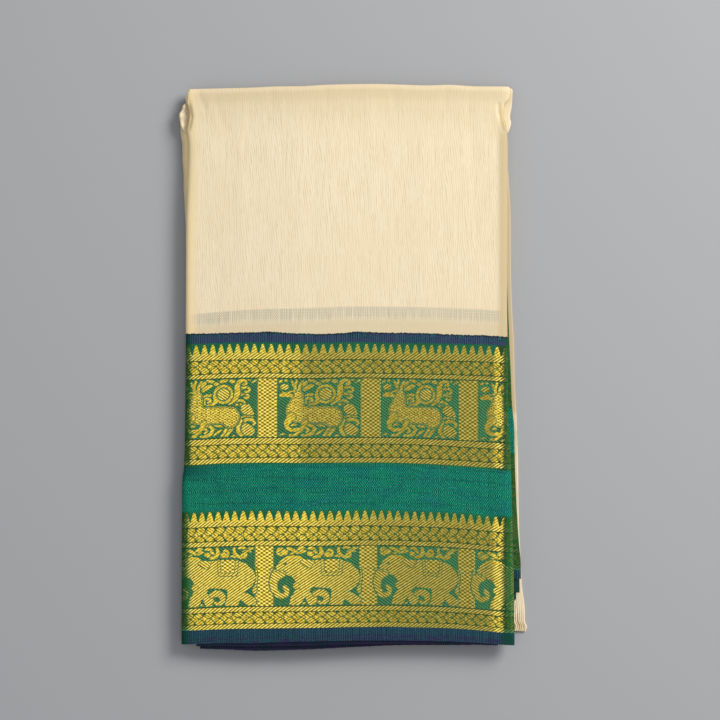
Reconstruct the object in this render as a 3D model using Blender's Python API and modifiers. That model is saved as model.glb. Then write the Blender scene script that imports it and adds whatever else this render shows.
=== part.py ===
"""A silk saree folded for storage and laid flat, as the cloth's own layers.

The cloth is folded once across its width, so that the fold is at +Y and the selvedges are at -Y,
and then many times along its length. Every piece is first placed in a straight stack of even
height, and settle() then gives the whole stack the sag and slope of real cloth, so that
neighbours keep their gaps. Metres, +Z up, the table at z = 0, the camera's up at +Y.
"""

import math

import bmesh
import bpy
from mathutils import Vector

# Driving sizes of the folded stack
STACK_HEIGHT = 0.0243
TOP_FOLD_Y = 0.3026
SELVEDGE_Y = -0.2930
KORVAI_Y = 0.0380
CLOTH = 0.0011
DOUBLE_LEAF = 0.0022
GAP = 0.0003

# Heights in the stack, from the table up
BACK_LEAF_TOP = DOUBLE_LEAF
LOWER_FOLD_BASE = BACK_LEAF_TOP + GAP
LOWER_FOLD_TOP = 0.0102
CORE_BASE = LOWER_FOLD_BASE
CORE_TOP = STACK_HEIGHT - CLOTH - 2 * GAP

# How far the folds turn inwards, and how far they run on under themselves
OUTER_TURN_LEFT = 0.0095
OUTER_TURN_RIGHT = 0.0120
LOWER_TURN = 0.0075
ARM = 0.0060
LIP_FROM = 0.0100
LIP_DEPTH = 0.0042
LIP_DEPTH_AT_SIDES = 0.0012

# Outline of the outer fold, seen from above, from the top fold to the selvedge
OUTER_COLUMNS = ("y", "left", "right", "base_left", "base_right")
OUTER_ROWS = (
    (0.3026, -0.1752, 0.1600, 0.0142, 0.0148),
    (0.2960, -0.1787, 0.1596, 0.0142, 0.0148),
    (0.2800, -0.1768, 0.1600, 0.0141, 0.0146),
    (0.2600, -0.1785, 0.1630, 0.0139, 0.0142),
    (0.2440, -0.1766, 0.1648, 0.0125, 0.0124),
    (0.2180, -0.1767, 0.1650, 0.0107, 0.0106),
    (0.1640, -0.1782, 0.1648, 0.0105, 0.0105),
    (0.0800, -0.1793, 0.1642, 0.0108, 0.0109),
    (0.0320, -0.1796, 0.1646, 0.0106, 0.0106),
    (-0.0300, -0.1803, 0.1652, 0.0105, 0.0105),
    (-0.1000, -0.1820, 0.1682, 0.0108, 0.0109),
    (-0.1600, -0.1834, 0.1696, 0.0106, 0.0107),
    (-0.2100, -0.1837, 0.1709, 0.0105, 0.0105),
    (-0.2930, -0.1838, 0.1717, 0.0107, 0.0108),
)

# Outline of the lower fold at the left, which shows past the outer one near its top corner
LOWER_COLUMNS = ("y", "left")
LOWER_ROWS = (
    (0.2860, -0.1822),
    (0.2770, -0.1860),
    (0.2560, -0.1848),
    (0.2480, -0.1832),
    (0.2100, -0.1817),
    (0.1640, -0.1804),
    (0.1150, -0.1790),
    (0.0320, -0.1784),
    (-0.0560, -0.1792),
    (-0.1630, -0.1818),
    (-0.2490, -0.1826),
    (-0.2905, -0.1824),
)
LOWER_FOLD_TOP_Y = LOWER_ROWS[0][0]
LOWER_SELVEDGE_Y = LOWER_ROWS[-1][0]

# Inner leaves at the right, one on the other: each fold's reach at a few heights of y
INNER_COLUMNS = ("y", "reach")
INNER_ROWS = (
    (0.2440, 0.1618),
    (0.1600, 0.1624),
    (0.1040, 0.1644),
    (0.0720, 0.1655),
    (0.0380, 0.1668),
    (-0.0080, 0.1688),
    (-0.0270, 0.1695),
    (-0.0600, 0.1722),
    (-0.0840, 0.1727),
    (-0.1130, 0.1736),
    (-0.1580, 0.1757),
    (-0.1860, 0.1778),
    (-0.2010, 0.1792),
    (-0.2430, 0.1798),
)
INNER_DEPTH = 0.0400
# name, base in the stack, the y of its selvedge, and how far it lies inside the longest reach
INNER_LEAVES = (
    ("inner_leaf_lower", 0.0025, -0.2430, 0.0052),
    ("inner_leaf_middle", 0.0051, -0.2350, 0.0016),
    ("inner_leaf_upper", 0.0077, -0.2195, 0.0000),
)
INNER_LEAF_THICK = 0.0023
INNER_TOP_Y = 0.2440

# The leaf that the stack lies on: plain cloth to its own selvedge, its right edge past the rest
BACK_COLUMNS = ("y", "left", "right")
BACK_ROWS = (
    (0.2950, -0.1700, 0.1560),
    (0.2900, -0.1720, 0.1620),
    (0.2580, -0.1760, 0.1650),
    (0.2430, -0.1768, 0.1648),
    (0.2230, -0.1768, 0.1657),
    (0.1980, -0.1766, 0.1673),
    (0.1680, -0.1764, 0.1687),
    (0.1040, -0.1760, 0.1692),
    (0.0560, -0.1758, 0.1710),
    (0.0310, -0.1757, 0.1725),
    (-0.0080, -0.1758, 0.1731),
    (-0.0300, -0.1763, 0.1745),
    (-0.1030, -0.1784, 0.1768),
    (-0.1570, -0.1792, 0.1776),
    (-0.2010, -0.1796, 0.1797),
    (-0.2270, -0.1798, 0.1808),
    (-0.2410, -0.1799, 0.1827),
    (-0.2530, -0.1800, 0.1840),
    (-0.2670, -0.1800, 0.1842),
    (-0.2722, -0.1800, 0.1864),
    (-0.2775, -0.1799, 0.1849),
)
FLARE_FROM_ROW = 13
FLUTE_ZONE = 0.0300
FLUTES = 4
FLUTE_PITCH = 0.0052
FLUTE_DEPTH = 0.0007
FLUTED_WIDTH = 0.0300

# Selvedges of two more leaves, which show past the outer one at -Y
SELVEDGE_LEAF_DEPTH = 0.0300
SELVEDGE_LEAF_THICK = 0.0021
SELVEDGE_COLUMNS = ("x", "upper_end", "lower_end")
SELVEDGE_ROWS = (
    (-0.1700, -0.2952, -0.2990),
    (-0.1400, -0.2962, -0.3006),
    (-0.1000, -0.2974, -0.3017),
    (-0.0570, -0.2976, -0.3018),
    (-0.0030, -0.2968, -0.3004),
    (0.0500, -0.2966, -0.2982),
    (0.0900, -0.2958, -0.2972),
    (0.1250, -0.2950, -0.2956),
    (0.1540, -0.2941, -0.2944),
)
SELVEDGE_LEAVES = (
    ("selvedge_leaf_upper", "upper_end", 0.0207, -0.1690, 0.1540),
    ("selvedge_leaf_lower", "lower_end", 0.0183, -0.1652, 0.1260),
)

# Small turned corners beside the top fold: name, base, thickness, rows of y, inner x and outer x
CORNER_LEAVES = (
    (
        "corner_fold_left",
        0.0106,
        0.0030,
        (
            (0.2890, -0.1690, -0.1738),
            (0.2862, -0.1690, -0.1822),
            (0.2830, -0.1690, -0.1842),
            (0.2770, -0.1690, -0.1838),
            (0.2650, -0.1690, -0.1822),
            (0.2560, -0.1700, -0.1780),
        ),
    ),
    (
        "corner_fold_right",
        0.0106,
        0.0030,
        (
            (0.3000, 0.1500, 0.1676),
            (0.2985, 0.1500, 0.1704),
            (0.2850, 0.1500, 0.1696),
            (0.2720, 0.1500, 0.1674),
            (0.2664, 0.1500, 0.1687),
            (0.2600, 0.1500, 0.1672),
            (0.2560, 0.1510, 0.1655),
        ),
    ),
)

CORNER_END_SHARE = 0.6

# The shape that settle() gives the stack
RIDGE_X = -0.0570
RIDGE_SOFTNESS = 0.0120
LEFT_SLOPE_DROP = 0.17
RIGHT_SLOPE_DROP = 0.03
SLOPE_REACH_LEFT = 0.1800
SLOPE_REACH_RIGHT = 0.1700
TOP_EDGE_DROP = 0.20
TOP_EDGE_SPAN = (0.2766, 0.3086)
LOWER_EDGE_DROP = 0.07
LOWER_EDGE_SPAN = (0.2330, 0.3100)
SAG_COLUMNS = ("y", "left", "right")
SAG_ROWS = (
    (0.3026, 0.0056, 0.0025),
    (0.1700, 0.0046, 0.0040),
    (0.0380, 0.0036, 0.0054),
    (-0.1000, 0.0036, 0.0068),
    (-0.2200, 0.0036, 0.0060),
    (-0.3020, 0.0036, 0.0044),
)
SAG_FLAT_FROM = -0.0020
SAG_FLAT_TO = 0.0280
SAG_REACH_LEFT = 0.1770
SAG_REACH_RIGHT = 0.1450

# Spacing of the cross-sections
BODY_STEP = 0.0240
BORDER_STEP = 0.0260
LOWER_STEP = 0.0280
LEAF_STEP = 0.0350
SELVEDGE_STEP = 0.0270
LEAST_SPACING = 0.35
CORE_SECTIONS = 11
OUTER_TOP_POINTS = 12
TURN_POINTS = 8
NOSE_ANGLES = (-60, -30, 0, 30, 60)

# Colours and finish, linear
CREAM = (0.86, 0.73, 0.50, 1.0)
BORDER_GREEN = (0.02, 0.17, 0.10, 1.0)
NAVY = (0.03, 0.05, 0.11, 1.0)
SILK_ROUGHNESS = 0.45


def eased(rows, columns, name, at):
    """The value of a named column where the first column is at, on a smooth curve through the rows."""
    column = columns.index(name)
    rows = sorted(rows)
    if at <= rows[0][0]:
        return rows[0][column]
    if at >= rows[-1][0]:
        return rows[-1][column]
    i = next(k for k in range(len(rows) - 1) if rows[k + 1][0] >= at)
    (x0, y0), (x1, y1) = ((rows[k][0], rows[k][column]) for k in (i, i + 1))
    share = (at - x0) / (x1 - x0)
    slope = (y1 - y0) / (x1 - x0)

    def tangent(k):
        if k <= 0 or k >= len(rows) - 1:
            return slope
        before = (rows[k][column] - rows[k - 1][column]) / (rows[k][0] - rows[k - 1][0])
        after = (rows[k + 1][column] - rows[k][column]) / (rows[k + 1][0] - rows[k][0])
        return 2 * before * after / (before + after) if before * after > 0 else 0.0

    rise = share * share * (3 - 2 * share) * (y1 - y0)
    lean_in = share * (1 - share) ** 2 * tangent(i) * (x1 - x0)
    lean_out = -share * share * (1 - share) * tangent(i + 1) * (x1 - x0)
    return y0 + rise + lean_in + lean_out


def smooth_step(low, high, at):
    """0 below low, 1 above high, and a smooth rise between them."""
    share = min(1.0, max(0.0, (at - low) / (high - low)))
    return share * share * (3 - 2 * share)


def height_share(x, y):
    """The settled stack's height at x and y, as a share of its full height."""
    past_ridge = RIDGE_X - x
    slope = (past_ridge + math.hypot(past_ridge, RIDGE_SOFTNESS)) / 2
    left = LEFT_SLOPE_DROP * slope / (SLOPE_REACH_LEFT + RIDGE_X)
    right = RIGHT_SLOPE_DROP * smooth_step(RIDGE_X, SLOPE_REACH_RIGHT, x)
    top = TOP_EDGE_DROP * smooth_step(*TOP_EDGE_SPAN, y)
    lower = LOWER_EDGE_DROP * smooth_step(*LOWER_EDGE_SPAN, -y)
    return (1 - left - right) * (1 - top - lower)


def sag(x, y):
    """How far the cloth at x has slipped towards -Y."""
    if x < SAG_FLAT_FROM:
        return eased(SAG_ROWS, SAG_COLUMNS, "left", y) * ((SAG_FLAT_FROM - x) / SAG_REACH_LEFT) ** 2
    if x > SAG_FLAT_TO:
        return eased(SAG_ROWS, SAG_COLUMNS, "right", y) * ((x - SAG_FLAT_TO) / SAG_REACH_RIGHT) ** 2
    return 0.0


def settle(x, y, z):
    """A point of the straight stack, where it lies in the settled one."""
    return Vector((x, y - sag(x, y), z * height_share(x, y)))


def silk(name, colour):
    """A silk material of one woven colour."""
    made = bpy.data.materials.new(name)
    made.use_nodes = True
    shader = made.node_tree.nodes["Principled BSDF"]
    shader.inputs["Base Color"].default_value = colour
    shader.inputs["Roughness"].default_value = SILK_ROUGHNESS
    shader.inputs["Metallic"].default_value = 0.0
    return made


def spaced(low, high, count):
    """count + 1 even values from low to high."""
    return [low + (high - low) * k / count for k in range(count + 1)]


def cloth_wall(name, across, along, place, material):
    """A sheet whose grid points place(a, b) gives, with the cloth's thickness on its inner side."""
    bpy.ops.mesh.primitive_grid_add(
        x_subdivisions=len(across) - 1, y_subdivisions=len(along) - 1, size=1
    )
    sheet = bpy.context.object
    sheet.name = name
    for vertex in sheet.data.vertices:
        a = across[round((vertex.co.x + 0.5) * (len(across) - 1))]
        b = along[round((vertex.co.y + 0.5) * (len(along) - 1))]
        vertex.co = place(a, b)
    wall = sheet.modifiers.new("Cloth", "SOLIDIFY")
    wall.thickness = CLOTH
    wall.offset = -1
    wall.use_even_offset = True
    wall.thickness_clamp = 0
    return finished(sheet, material)


def loft(name, rings, material):
    """A closed solid through rings of equally many points, which run anticlockwise seen from -Y."""
    mesh = bmesh.new()
    loops = [[mesh.verts.new(point) for point in ring] for ring in rings]
    count = len(rings[0])
    for near, far in zip(loops, loops[1:]):
        for k in range(count):
            mesh.faces.new((near[k], near[(k + 1) % count], far[(k + 1) % count], far[k]))
    mesh.faces.new(loops[0])
    mesh.faces.new(loops[-1])
    return closed_solid(name, mesh, material)


def closed_solid(name, mesh, material):
    """An object of a closed mesh, with its faces turned outwards."""
    bmesh.ops.recalc_face_normals(mesh, faces=mesh.faces)
    bmesh.ops.triangulate(mesh, faces=mesh.faces)
    data = bpy.data.meshes.new(name)
    mesh.to_mesh(data)
    mesh.free()
    solid = bpy.data.objects.new(name, data)
    bpy.context.collection.objects.link(solid)
    return finished(solid, material)


def finished(piece, material):
    """Puts a piece in the saree's collection, with its material and smooth shading."""
    for holder in list(piece.users_collection):
        holder.objects.unlink(piece)
    saree.objects.link(piece)
    piece.data.materials.append(material)
    piece.data.shade_smooth()
    return piece


def turn(edge, depth, base, top, angle):
    """A point of a fold that turns over from base to top, angle from -90 at the base to 90 degrees."""
    inwards = math.copysign(depth, -edge)
    x = edge + inwards * (1 - math.cos(angle))
    return x, (base + top) / 2 + (top - base) / 2 * math.sin(angle)


OUTER_LAST = 1 + TURN_POINTS + OUTER_TOP_POINTS + TURN_POINTS + 1


def outer_section(step, y):
    """The outer fold's outline at y: left arm, left turn, top, right turn and right arm."""
    left, right, base_left, base_right = (
        eased(OUTER_ROWS, OUTER_COLUMNS, name, y) for name in OUTER_COLUMNS[1:]
    )
    if step == 0:
        return left + OUTER_TURN_LEFT + ARM, base_left
    if step <= 1 + TURN_POINTS:
        angle = math.radians(-90 + 180 * (step - 1) / TURN_POINTS)
        return turn(left, OUTER_TURN_LEFT, base_left, STACK_HEIGHT, angle)
    if step < 1 + TURN_POINTS + OUTER_TOP_POINTS:
        share = (step - 1 - TURN_POINTS) / OUTER_TOP_POINTS
        start, end = left + OUTER_TURN_LEFT, right - OUTER_TURN_RIGHT
        return start + share * (end - start), STACK_HEIGHT
    if step < OUTER_LAST:
        angle = math.radians(90 - 180 * (step - 1 - TURN_POINTS - OUTER_TOP_POINTS) / TURN_POINTS)
        return turn(right, OUTER_TURN_RIGHT, base_right, STACK_HEIGHT, angle)
    return right - OUTER_TURN_RIGHT - ARM, base_right


def outer_inwards(step, y, depth):
    """The outer fold's outline at y, drawn in by depth on its top and by less at its sides."""
    x, z = outer_section(step, y)
    beside = min(abs(step - 1 - TURN_POINTS), abs(step - 1 - TURN_POINTS - OUTER_TOP_POINTS))
    on_top = 1 + TURN_POINTS <= step <= 1 + TURN_POINTS + OUTER_TOP_POINTS
    share = 0.0 if on_top else min(1.0, beside / (TURN_POINTS / 2))
    depth = min(depth, depth / LIP_DEPTH * (LIP_DEPTH + share * (LIP_DEPTH_AT_SIDES - LIP_DEPTH)))
    before, after = (outer_section(min(OUTER_LAST, max(0, step + k)), y) for k in (-1, 1))
    along = Vector((after[0] - before[0], after[1] - before[1])).normalized()
    return x + along.y * depth, z - along.x * depth


# The top fold's lip: how far each row lies before the fold's edge, and how deep it has turned
LIP_ROWS = ((0.0042, 0.0), (0.0016, 0.0004), (0.0003, 0.0014), (0.0, 0.0028), (0.0, LIP_DEPTH))


def outer_body_point(step, row):
    """A point of the outer fold's plain field, from the korvai line to the top fold."""
    if row < len(BODY_Y):
        y = BODY_Y[row]
        x, z = outer_section(step, y)
    else:
        before_edge, depth = LIP_ROWS[row - len(BODY_Y)]
        y = TOP_FOLD_Y - before_edge
        x, z = outer_inwards(step, y, depth)
    return settle(x, y, z)


def outer_border_point(step, y):
    """A point of the outer fold's border, from the selvedge to the korvai line."""
    x, z = outer_section(step, y)
    return settle(x, y, z)


def lower_point(step, y):
    """A point of the lower fold at the left, open to the right: lower arm, turn and upper arm."""
    left = eased(LOWER_ROWS, LOWER_COLUMNS, "left", y)
    if step == 0:
        x, z = left + LOWER_TURN + ARM, LOWER_FOLD_BASE
    elif step > TURN_POINTS + 1:
        x, z = left + LOWER_TURN + ARM, LOWER_FOLD_TOP
    else:
        angle = math.radians(-90 + 180 * (step - 1) / TURN_POINTS)
        x, z = turn(left, LOWER_TURN, LOWER_FOLD_BASE, LOWER_FOLD_TOP, angle)
    return settle(x, y, z)


def leaf_ring(y, inner, outer, base, thick, end_share=1.0, middles=1):
    """The outline of a folded leaf at y: square where the stack hides it, round at its fold."""
    middle = base + thick / 2
    half = thick / 2 * end_share
    nose = math.copysign(half, outer - inner)
    points = [(inner + (outer - nose - inner) * k / (middles + 1), middle - half) for k in range(middles + 2)]
    points += [
        (outer - nose + nose * math.cos(math.radians(a)), middle + half * math.sin(math.radians(a)))
        for a in NOSE_ANGLES
    ]
    points += [(x, middle + half) for x, _ in reversed(points[: middles + 2])]
    return [settle(x, y, z) for x, z in points]


def stations(low, high, step, rows=()):
    """Places from low to high, about step apart, and those of the rows that lie between."""
    count = max(1, round((high - low) / step))
    found = spaced(low, high, count) + [row[0] for row in rows if low < row[0] < high]
    kept = []
    for y in sorted(found):
        if not kept or y - kept[-1] > LEAST_SPACING * step or y == high:
            kept.append(y)
    return kept


def inner_leaf(name, base, selvedge, inside, material):
    """One of the leaves that fan out past the outer fold at the right."""
    rings = []
    for y in stations(selvedge, INNER_TOP_Y, LEAF_STEP):
        reach = eased(INNER_ROWS, INNER_COLUMNS, "reach", y)
        rings.append(leaf_ring(y, reach - INNER_DEPTH, reach - inside, base, INNER_LEAF_THICK))
    return loft(name, rings, material)


def back_leaf(material):
    """The leaf on the table, with a flat underside and a fluted end where it flares out at the right."""
    rings = []
    end = BACK_ROWS[-1][0]
    half = DOUBLE_LEAF / 2
    for y in stations(end, BACK_ROWS[0][0], LEAF_STEP, BACK_ROWS[FLARE_FROM_ROW:]):
        left = eased(BACK_ROWS, BACK_COLUMNS, "left", y)
        right = eased(BACK_ROWS, BACK_COLUMNS, "right", y)
        fluting = 1 - smooth_step(end, end + FLUTE_ZONE, y)
        under = [(left + half, 0.0), (0.0, 0.0), (right - FLUTED_WIDTH, 0.0), (right - half, 0.0)]
        fold = [(right, half), (right - half, DOUBLE_LEAF)]
        flutes = []
        for k in range(1, 2 * FLUTES):
            x = right - half - k * FLUTE_PITCH / 2
            flutes.append((x, DOUBLE_LEAF - FLUTE_DEPTH * fluting * (k % 2)))
        over = [(right - FLUTED_WIDTH, DOUBLE_LEAF), (0.0, DOUBLE_LEAF), (left + half, DOUBLE_LEAF)]
        points = under + fold + flutes + over + [(left, half)]
        rings.append([settle(x, y, z) for x, z in points])
    return loft("back_leaf", rings, material)


def selvedge_leaf(name, end_column, base, left, right, material):
    """One of two leaves whose selvedges show past the outer one: a thin slab, wavy at its edge."""
    rings = []
    for x in stations(left, right, SELVEDGE_STEP):
        end = eased(SELVEDGE_ROWS, SELVEDGE_COLUMNS, end_column, x)
        start = SELVEDGE_Y + SELVEDGE_LEAF_DEPTH
        low, high = base, base + SELVEDGE_LEAF_THICK
        nose = SELVEDGE_LEAF_THICK / 2
        outline = ((start, low), (start, high), (end + nose, high), (end, low + nose), (end + nose, low))
        rings.append([settle(x, y, z) for y, z in outline])
    return loft(name, rings, material)


def corner_leaf(name, base, thick, rows, material):
    """A small fold that stands out at a corner of the top fold."""
    rings = []
    for count, (y, inner, outer) in enumerate(rows):
        at_end = count in (0, len(rows) - 1)
        rings.append(leaf_ring(y, inner, outer, base, thick, CORNER_END_SHARE if at_end else 1.0, 0))
    return loft(name, rings, material)


# The hidden layers' rows from the table up. Zone under lies beside the lower fold's own lower arm, low inside
# that fold, arms beside the arms that both folds turn in, and high inside the outer fold. The columns are the
# zone, the share of its height, how far a layer's edge stands out at the top and selvedge ends, and what the
# layers stop at on the left and on the right.
CORE_ROWS = (
    ("under", 0.00, 0.0, "arm", "leaves"),
    ("under", 0.94, 0.9, "arm", "leaves"),
    ("low", 0.02, 0.1, "fold", "leaves"),
    ("low", 0.20, 1.0, "fold", "leaves"),
    ("low", 0.40, 0.1, "fold", "leaves"),
    ("low", 0.60, 0.8, "fold", "leaves"),
    ("low", 0.80, 0.0, "fold", "leaves"),
    ("low", 0.96, 0.6, "fold", "leaves"),
    ("arms", 0.00, 0.8, "arm", "leaves"),
    ("arms", 0.46, 0.1, "arm", "leaves"),
    ("arms", 0.52, 0.0, "arm", "arm"),
    ("arms", 0.96, 0.9, "arm", "arm"),
    ("high", 0.01, 0.1, "fold", "fold"),
    ("high", 0.14, 1.0, "fold", "fold"),
    ("high", 0.29, 0.1, "fold", "fold"),
    ("high", 0.45, 0.7, "fold", "fold"),
    ("high", 0.60, 0.0, "fold", "fold"),
    ("high", 0.74, 0.8, "fold", "fold"),
    ("high", 0.88, 0.3, "fold", "fold"),
    ("high", 1.00, 0.0, "fold", "fold"),
)
EDGE_OUT = 0.0014
CORE_SHARES = (-1.0, -0.93, -0.80, -0.62, -0.45, -0.32, -0.20, 0.0, 0.25, 0.50, 0.72, 0.88, 1.0)
CORE_NEAR_Y = -0.2890
CORE_FAR_Y = 0.2985
BESIDE = 0.0050
NEARBY = 0.0360
ARM_ROOM = 0.0010
FOLD_ROOM = 0.0013
STEP_BEFORE_SELVEDGES = SELVEDGE_Y + SELVEDGE_LEAF_DEPTH + 0.0006
STEP_LENGTH = 0.0024
CORE_TOP_AT_SELVEDGES = 0.0178
TOP_EDGE_FROM = 0.2800
TOP_EDGE_INSET = 0.0018
NOT_SQUEEZED = 0.0100
SQUEEZED = 0.0050
CORE_TOP_AT_TOP_EDGE = 0.0182
KEPT_STEP = 0.03


def fold_room(edge, depth, base, top, z):
    """Where a solid inside a turned fold has to end at height z."""
    wall = CLOTH + FOLD_ROOM
    middle = (base + top) / 2
    half = (top - base) / 2 - wall
    rise = min(0.98, abs(z - middle) / half)
    inwards = depth - (depth - wall) * math.sqrt(1 - rise * rise)
    return edge + math.copysign(inwards, -edge)


def innermost(rows, columns, name, y, choose):
    """The least or greatest value of a column, as choose says, near y."""
    return choose(eased(rows, columns, name, y + k * NEARBY / 2) for k in (-2, -1, 0, 1, 2))


def core_ends(y, zone, share, left_end, right_end):
    """The hidden layers' left and right ends in one row at y, each as an x and a height."""
    left = innermost(OUTER_ROWS, OUTER_COLUMNS, "left", y, max)
    right = innermost(OUTER_ROWS, OUTER_COLUMNS, "right", y, min)
    base_left = innermost(OUTER_ROWS, OUTER_COLUMNS, "base_left", y, max)
    base_right = innermost(OUTER_ROWS, OUTER_COLUMNS, "base_right", y, max)
    lower = innermost(LOWER_ROWS, LOWER_COLUMNS, "left", y, max)
    low_base = LOWER_FOLD_BASE + CLOTH + ARM_ROOM
    low_top = LOWER_FOLD_TOP - CLOTH - ARM_ROOM
    found = []
    for base, end, edge, depth in (
        (base_left, left_end, left, OUTER_TURN_LEFT),
        (base_right, right_end, right, OUTER_TURN_RIGHT),
    ):
        arms_top = base + CLOTH + ARM_ROOM
        low, high = {
            "under": (CORE_BASE, low_base),
            "low": (low_base, low_top),
            "arms": (low_top, arms_top),
            "high": (arms_top, CORE_TOP),
        }[zone]
        z = low + share * (high - low)
        if end == "leaves":
            x = innermost(INNER_ROWS, INNER_COLUMNS, "reach", y, min) - INNER_DEPTH - BESIDE
        elif zone == "under":
            x = lower + LOWER_TURN + ARM + BESIDE
        elif end == "arm":
            x = edge + math.copysign(depth + ARM + BESIDE, -edge)
        elif zone == "low":
            x = fold_room(lower, LOWER_TURN, LOWER_FOLD_BASE, LOWER_FOLD_TOP, z)
        else:
            x = fold_room(edge, depth, base, STACK_HEIGHT, z)
        found.append((x, z))
    return found


def core_point(share_x, y, row):
    """A point of the hidden layers' surface."""
    zone, share, out, left_end, right_end = row
    (left, z_left), (right, z_right) = core_ends(y, zone, share, left_end, right_end)
    across = (share_x + 1) / 2
    if y >= TOP_EDGE_FROM:
        left, right = left + TOP_EDGE_INSET, right - TOP_EDGE_INSET
    x = left + across * (right - left)
    z = z_left + across * (z_right - z_left)
    if y <= STEP_BEFORE_SELVEDGES and z > CORE_TOP_AT_SELVEDGES:
        z = CORE_TOP_AT_SELVEDGES + KEPT_STEP * (z - CORE_TOP_AT_SELVEDGES)
    if y >= TOP_EDGE_FROM and z > CORE_TOP_AT_TOP_EDGE:
        z = CORE_TOP_AT_TOP_EDGE + KEPT_STEP * (z - CORE_TOP_AT_TOP_EDGE)
    stands_out = EDGE_OUT * out * (0.75 + 0.25 * math.sin(31 * x + 400 * z))
    if y == CORE_NEAR_Y:
        y -= stands_out
    if y == CORE_FAR_Y:
        y += stands_out
    return settle(x, y, z)


def hidden_layers(material):
    """All the layers between the leaves that show, as one rounded solid with layered ends."""
    middle = spaced(STEP_BEFORE_SELVEDGES + STEP_LENGTH, TOP_EDGE_FROM - NOT_SQUEEZED, CORE_SECTIONS)
    core_y = [CORE_NEAR_Y, STEP_BEFORE_SELVEDGES] + middle + [TOP_EDGE_FROM + SQUEEZED, CORE_FAR_Y]
    last = (len(CORE_SHARES) - 1, len(core_y) - 1, len(CORE_ROWS) - 1)
    mesh = bmesh.new()
    points = {}
    for i, share_x in enumerate(CORE_SHARES):
        for j, y in enumerate(core_y):
            for k, row in enumerate(CORE_ROWS):
                if i in (0, last[0]) or j in (0, last[1]) or k in (0, last[2]):
                    points[i, j, k] = mesh.verts.new(core_point(share_x, y, row))
    for axis, (one, two) in enumerate(((1, 2), (0, 2), (0, 1))):
        for end in (0, last[axis]):
            for p in range(last[one]):
                for q in range(last[two]):
                    square = []
                    for corner_p, corner_q in ((p, q), (p + 1, q), (p + 1, q + 1), (p, q + 1)):
                        key = [end, end, end]
                        key[one], key[two] = corner_p, corner_q
                        square.append(points[tuple(key)])
                    mesh.faces.new(square)
    return closed_solid("hidden_layers", mesh, material)


for left_over in list(bpy.data.objects):
    bpy.data.objects.remove(left_over)
saree = bpy.data.collections.new("Folded saree")
bpy.context.scene.collection.children.link(saree)
cream_silk = silk("Cream silk", CREAM)
green_silk = silk("Green border silk", BORDER_GREEN)
navy_silk = silk("Navy selvedge silk", NAVY)

BODY_Y = stations(KORVAI_Y + GAP / 2, TOP_FOLD_Y - LIP_FROM, BODY_STEP)
BORDER_Y = stations(SELVEDGE_Y, KORVAI_Y - GAP / 2, BORDER_STEP)
body_rows = list(range(len(BODY_Y) + len(LIP_ROWS)))
outer_steps = list(range(OUTER_LAST + 1))
lower_steps = list(range(TURN_POINTS + 3))

cloth_wall("outer_body", outer_steps, body_rows, outer_body_point, cream_silk)
cloth_wall("outer_border", outer_steps, BORDER_Y, outer_border_point, green_silk)
lower_body_y = stations(KORVAI_Y + GAP / 2, LOWER_FOLD_TOP_Y, LOWER_STEP)
lower_border_y = stations(LOWER_SELVEDGE_Y, KORVAI_Y - GAP / 2, LOWER_STEP)
cloth_wall("lower_fold_body", lower_steps, lower_body_y, lower_point, cream_silk)
cloth_wall("lower_fold_border", lower_steps, lower_border_y, lower_point, green_silk)
for leaf_name, leaf_base, leaf_selvedge, leaf_inside in INNER_LEAVES:
    inner_leaf(leaf_name, leaf_base, leaf_selvedge, leaf_inside, green_silk)
back_leaf(cream_silk)
for leaf_name, end_name, leaf_base, leaf_left, leaf_right in SELVEDGE_LEAVES:
    selvedge_leaf(leaf_name, end_name, leaf_base, leaf_left, leaf_right, navy_silk)
for leaf_name, leaf_base, leaf_thick, leaf_rows in CORNER_LEAVES:
    corner_leaf(leaf_name, leaf_base, leaf_thick, leaf_rows, cream_silk)
hidden_layers(cream_silk)
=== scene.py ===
import functools
import itertools
import math

import bmesh
import bpy
import numpy as np
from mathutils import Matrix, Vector


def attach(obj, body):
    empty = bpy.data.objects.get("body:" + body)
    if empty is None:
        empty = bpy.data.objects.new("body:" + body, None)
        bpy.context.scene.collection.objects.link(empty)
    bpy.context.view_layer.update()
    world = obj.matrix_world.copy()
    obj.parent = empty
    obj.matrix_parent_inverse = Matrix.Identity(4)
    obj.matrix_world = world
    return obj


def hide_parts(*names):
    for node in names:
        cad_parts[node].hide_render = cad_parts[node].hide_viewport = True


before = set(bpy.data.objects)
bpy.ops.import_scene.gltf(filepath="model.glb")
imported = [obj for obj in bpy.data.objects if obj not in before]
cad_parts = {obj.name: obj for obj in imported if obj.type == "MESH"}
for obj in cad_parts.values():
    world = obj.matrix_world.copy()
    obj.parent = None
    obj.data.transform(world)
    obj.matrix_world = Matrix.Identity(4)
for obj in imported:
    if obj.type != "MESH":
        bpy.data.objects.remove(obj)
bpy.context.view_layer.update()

MM = 0.001
bpy.ops.object.select_all(action="DESELECT")


# The surface the saree lies on
# A plain pale grey table top, matt, with the saree's weight straight on it. It isn't part of the saree.

TABLE_SIZE = 6.0
TABLE_GREY = (0.352, 0.355, 0.365, 1.0)

bpy.ops.mesh.primitive_plane_add(size=TABLE_SIZE, location=(0, 0, -0.0002))
table = bpy.context.object
table.name = "table_top"
table_finish = bpy.data.materials.new("pale grey table top")
table_finish.use_nodes = True
table_shader = table_finish.node_tree.nodes["Principled BSDF"]
table_shader.inputs["Base Color"].default_value = TABLE_GREY
table_shader.inputs["Roughness"].default_value = 0.9
table_shader.inputs["Specular IOR Level"].default_value = 0.2
table.data.materials.append(table_finish)


# Light and camera
# A broad window to the right, a weaker one above, and an even room around them. The camera looks straight
# down at the middle of the pack, far enough away that the sides hardly show.

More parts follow.
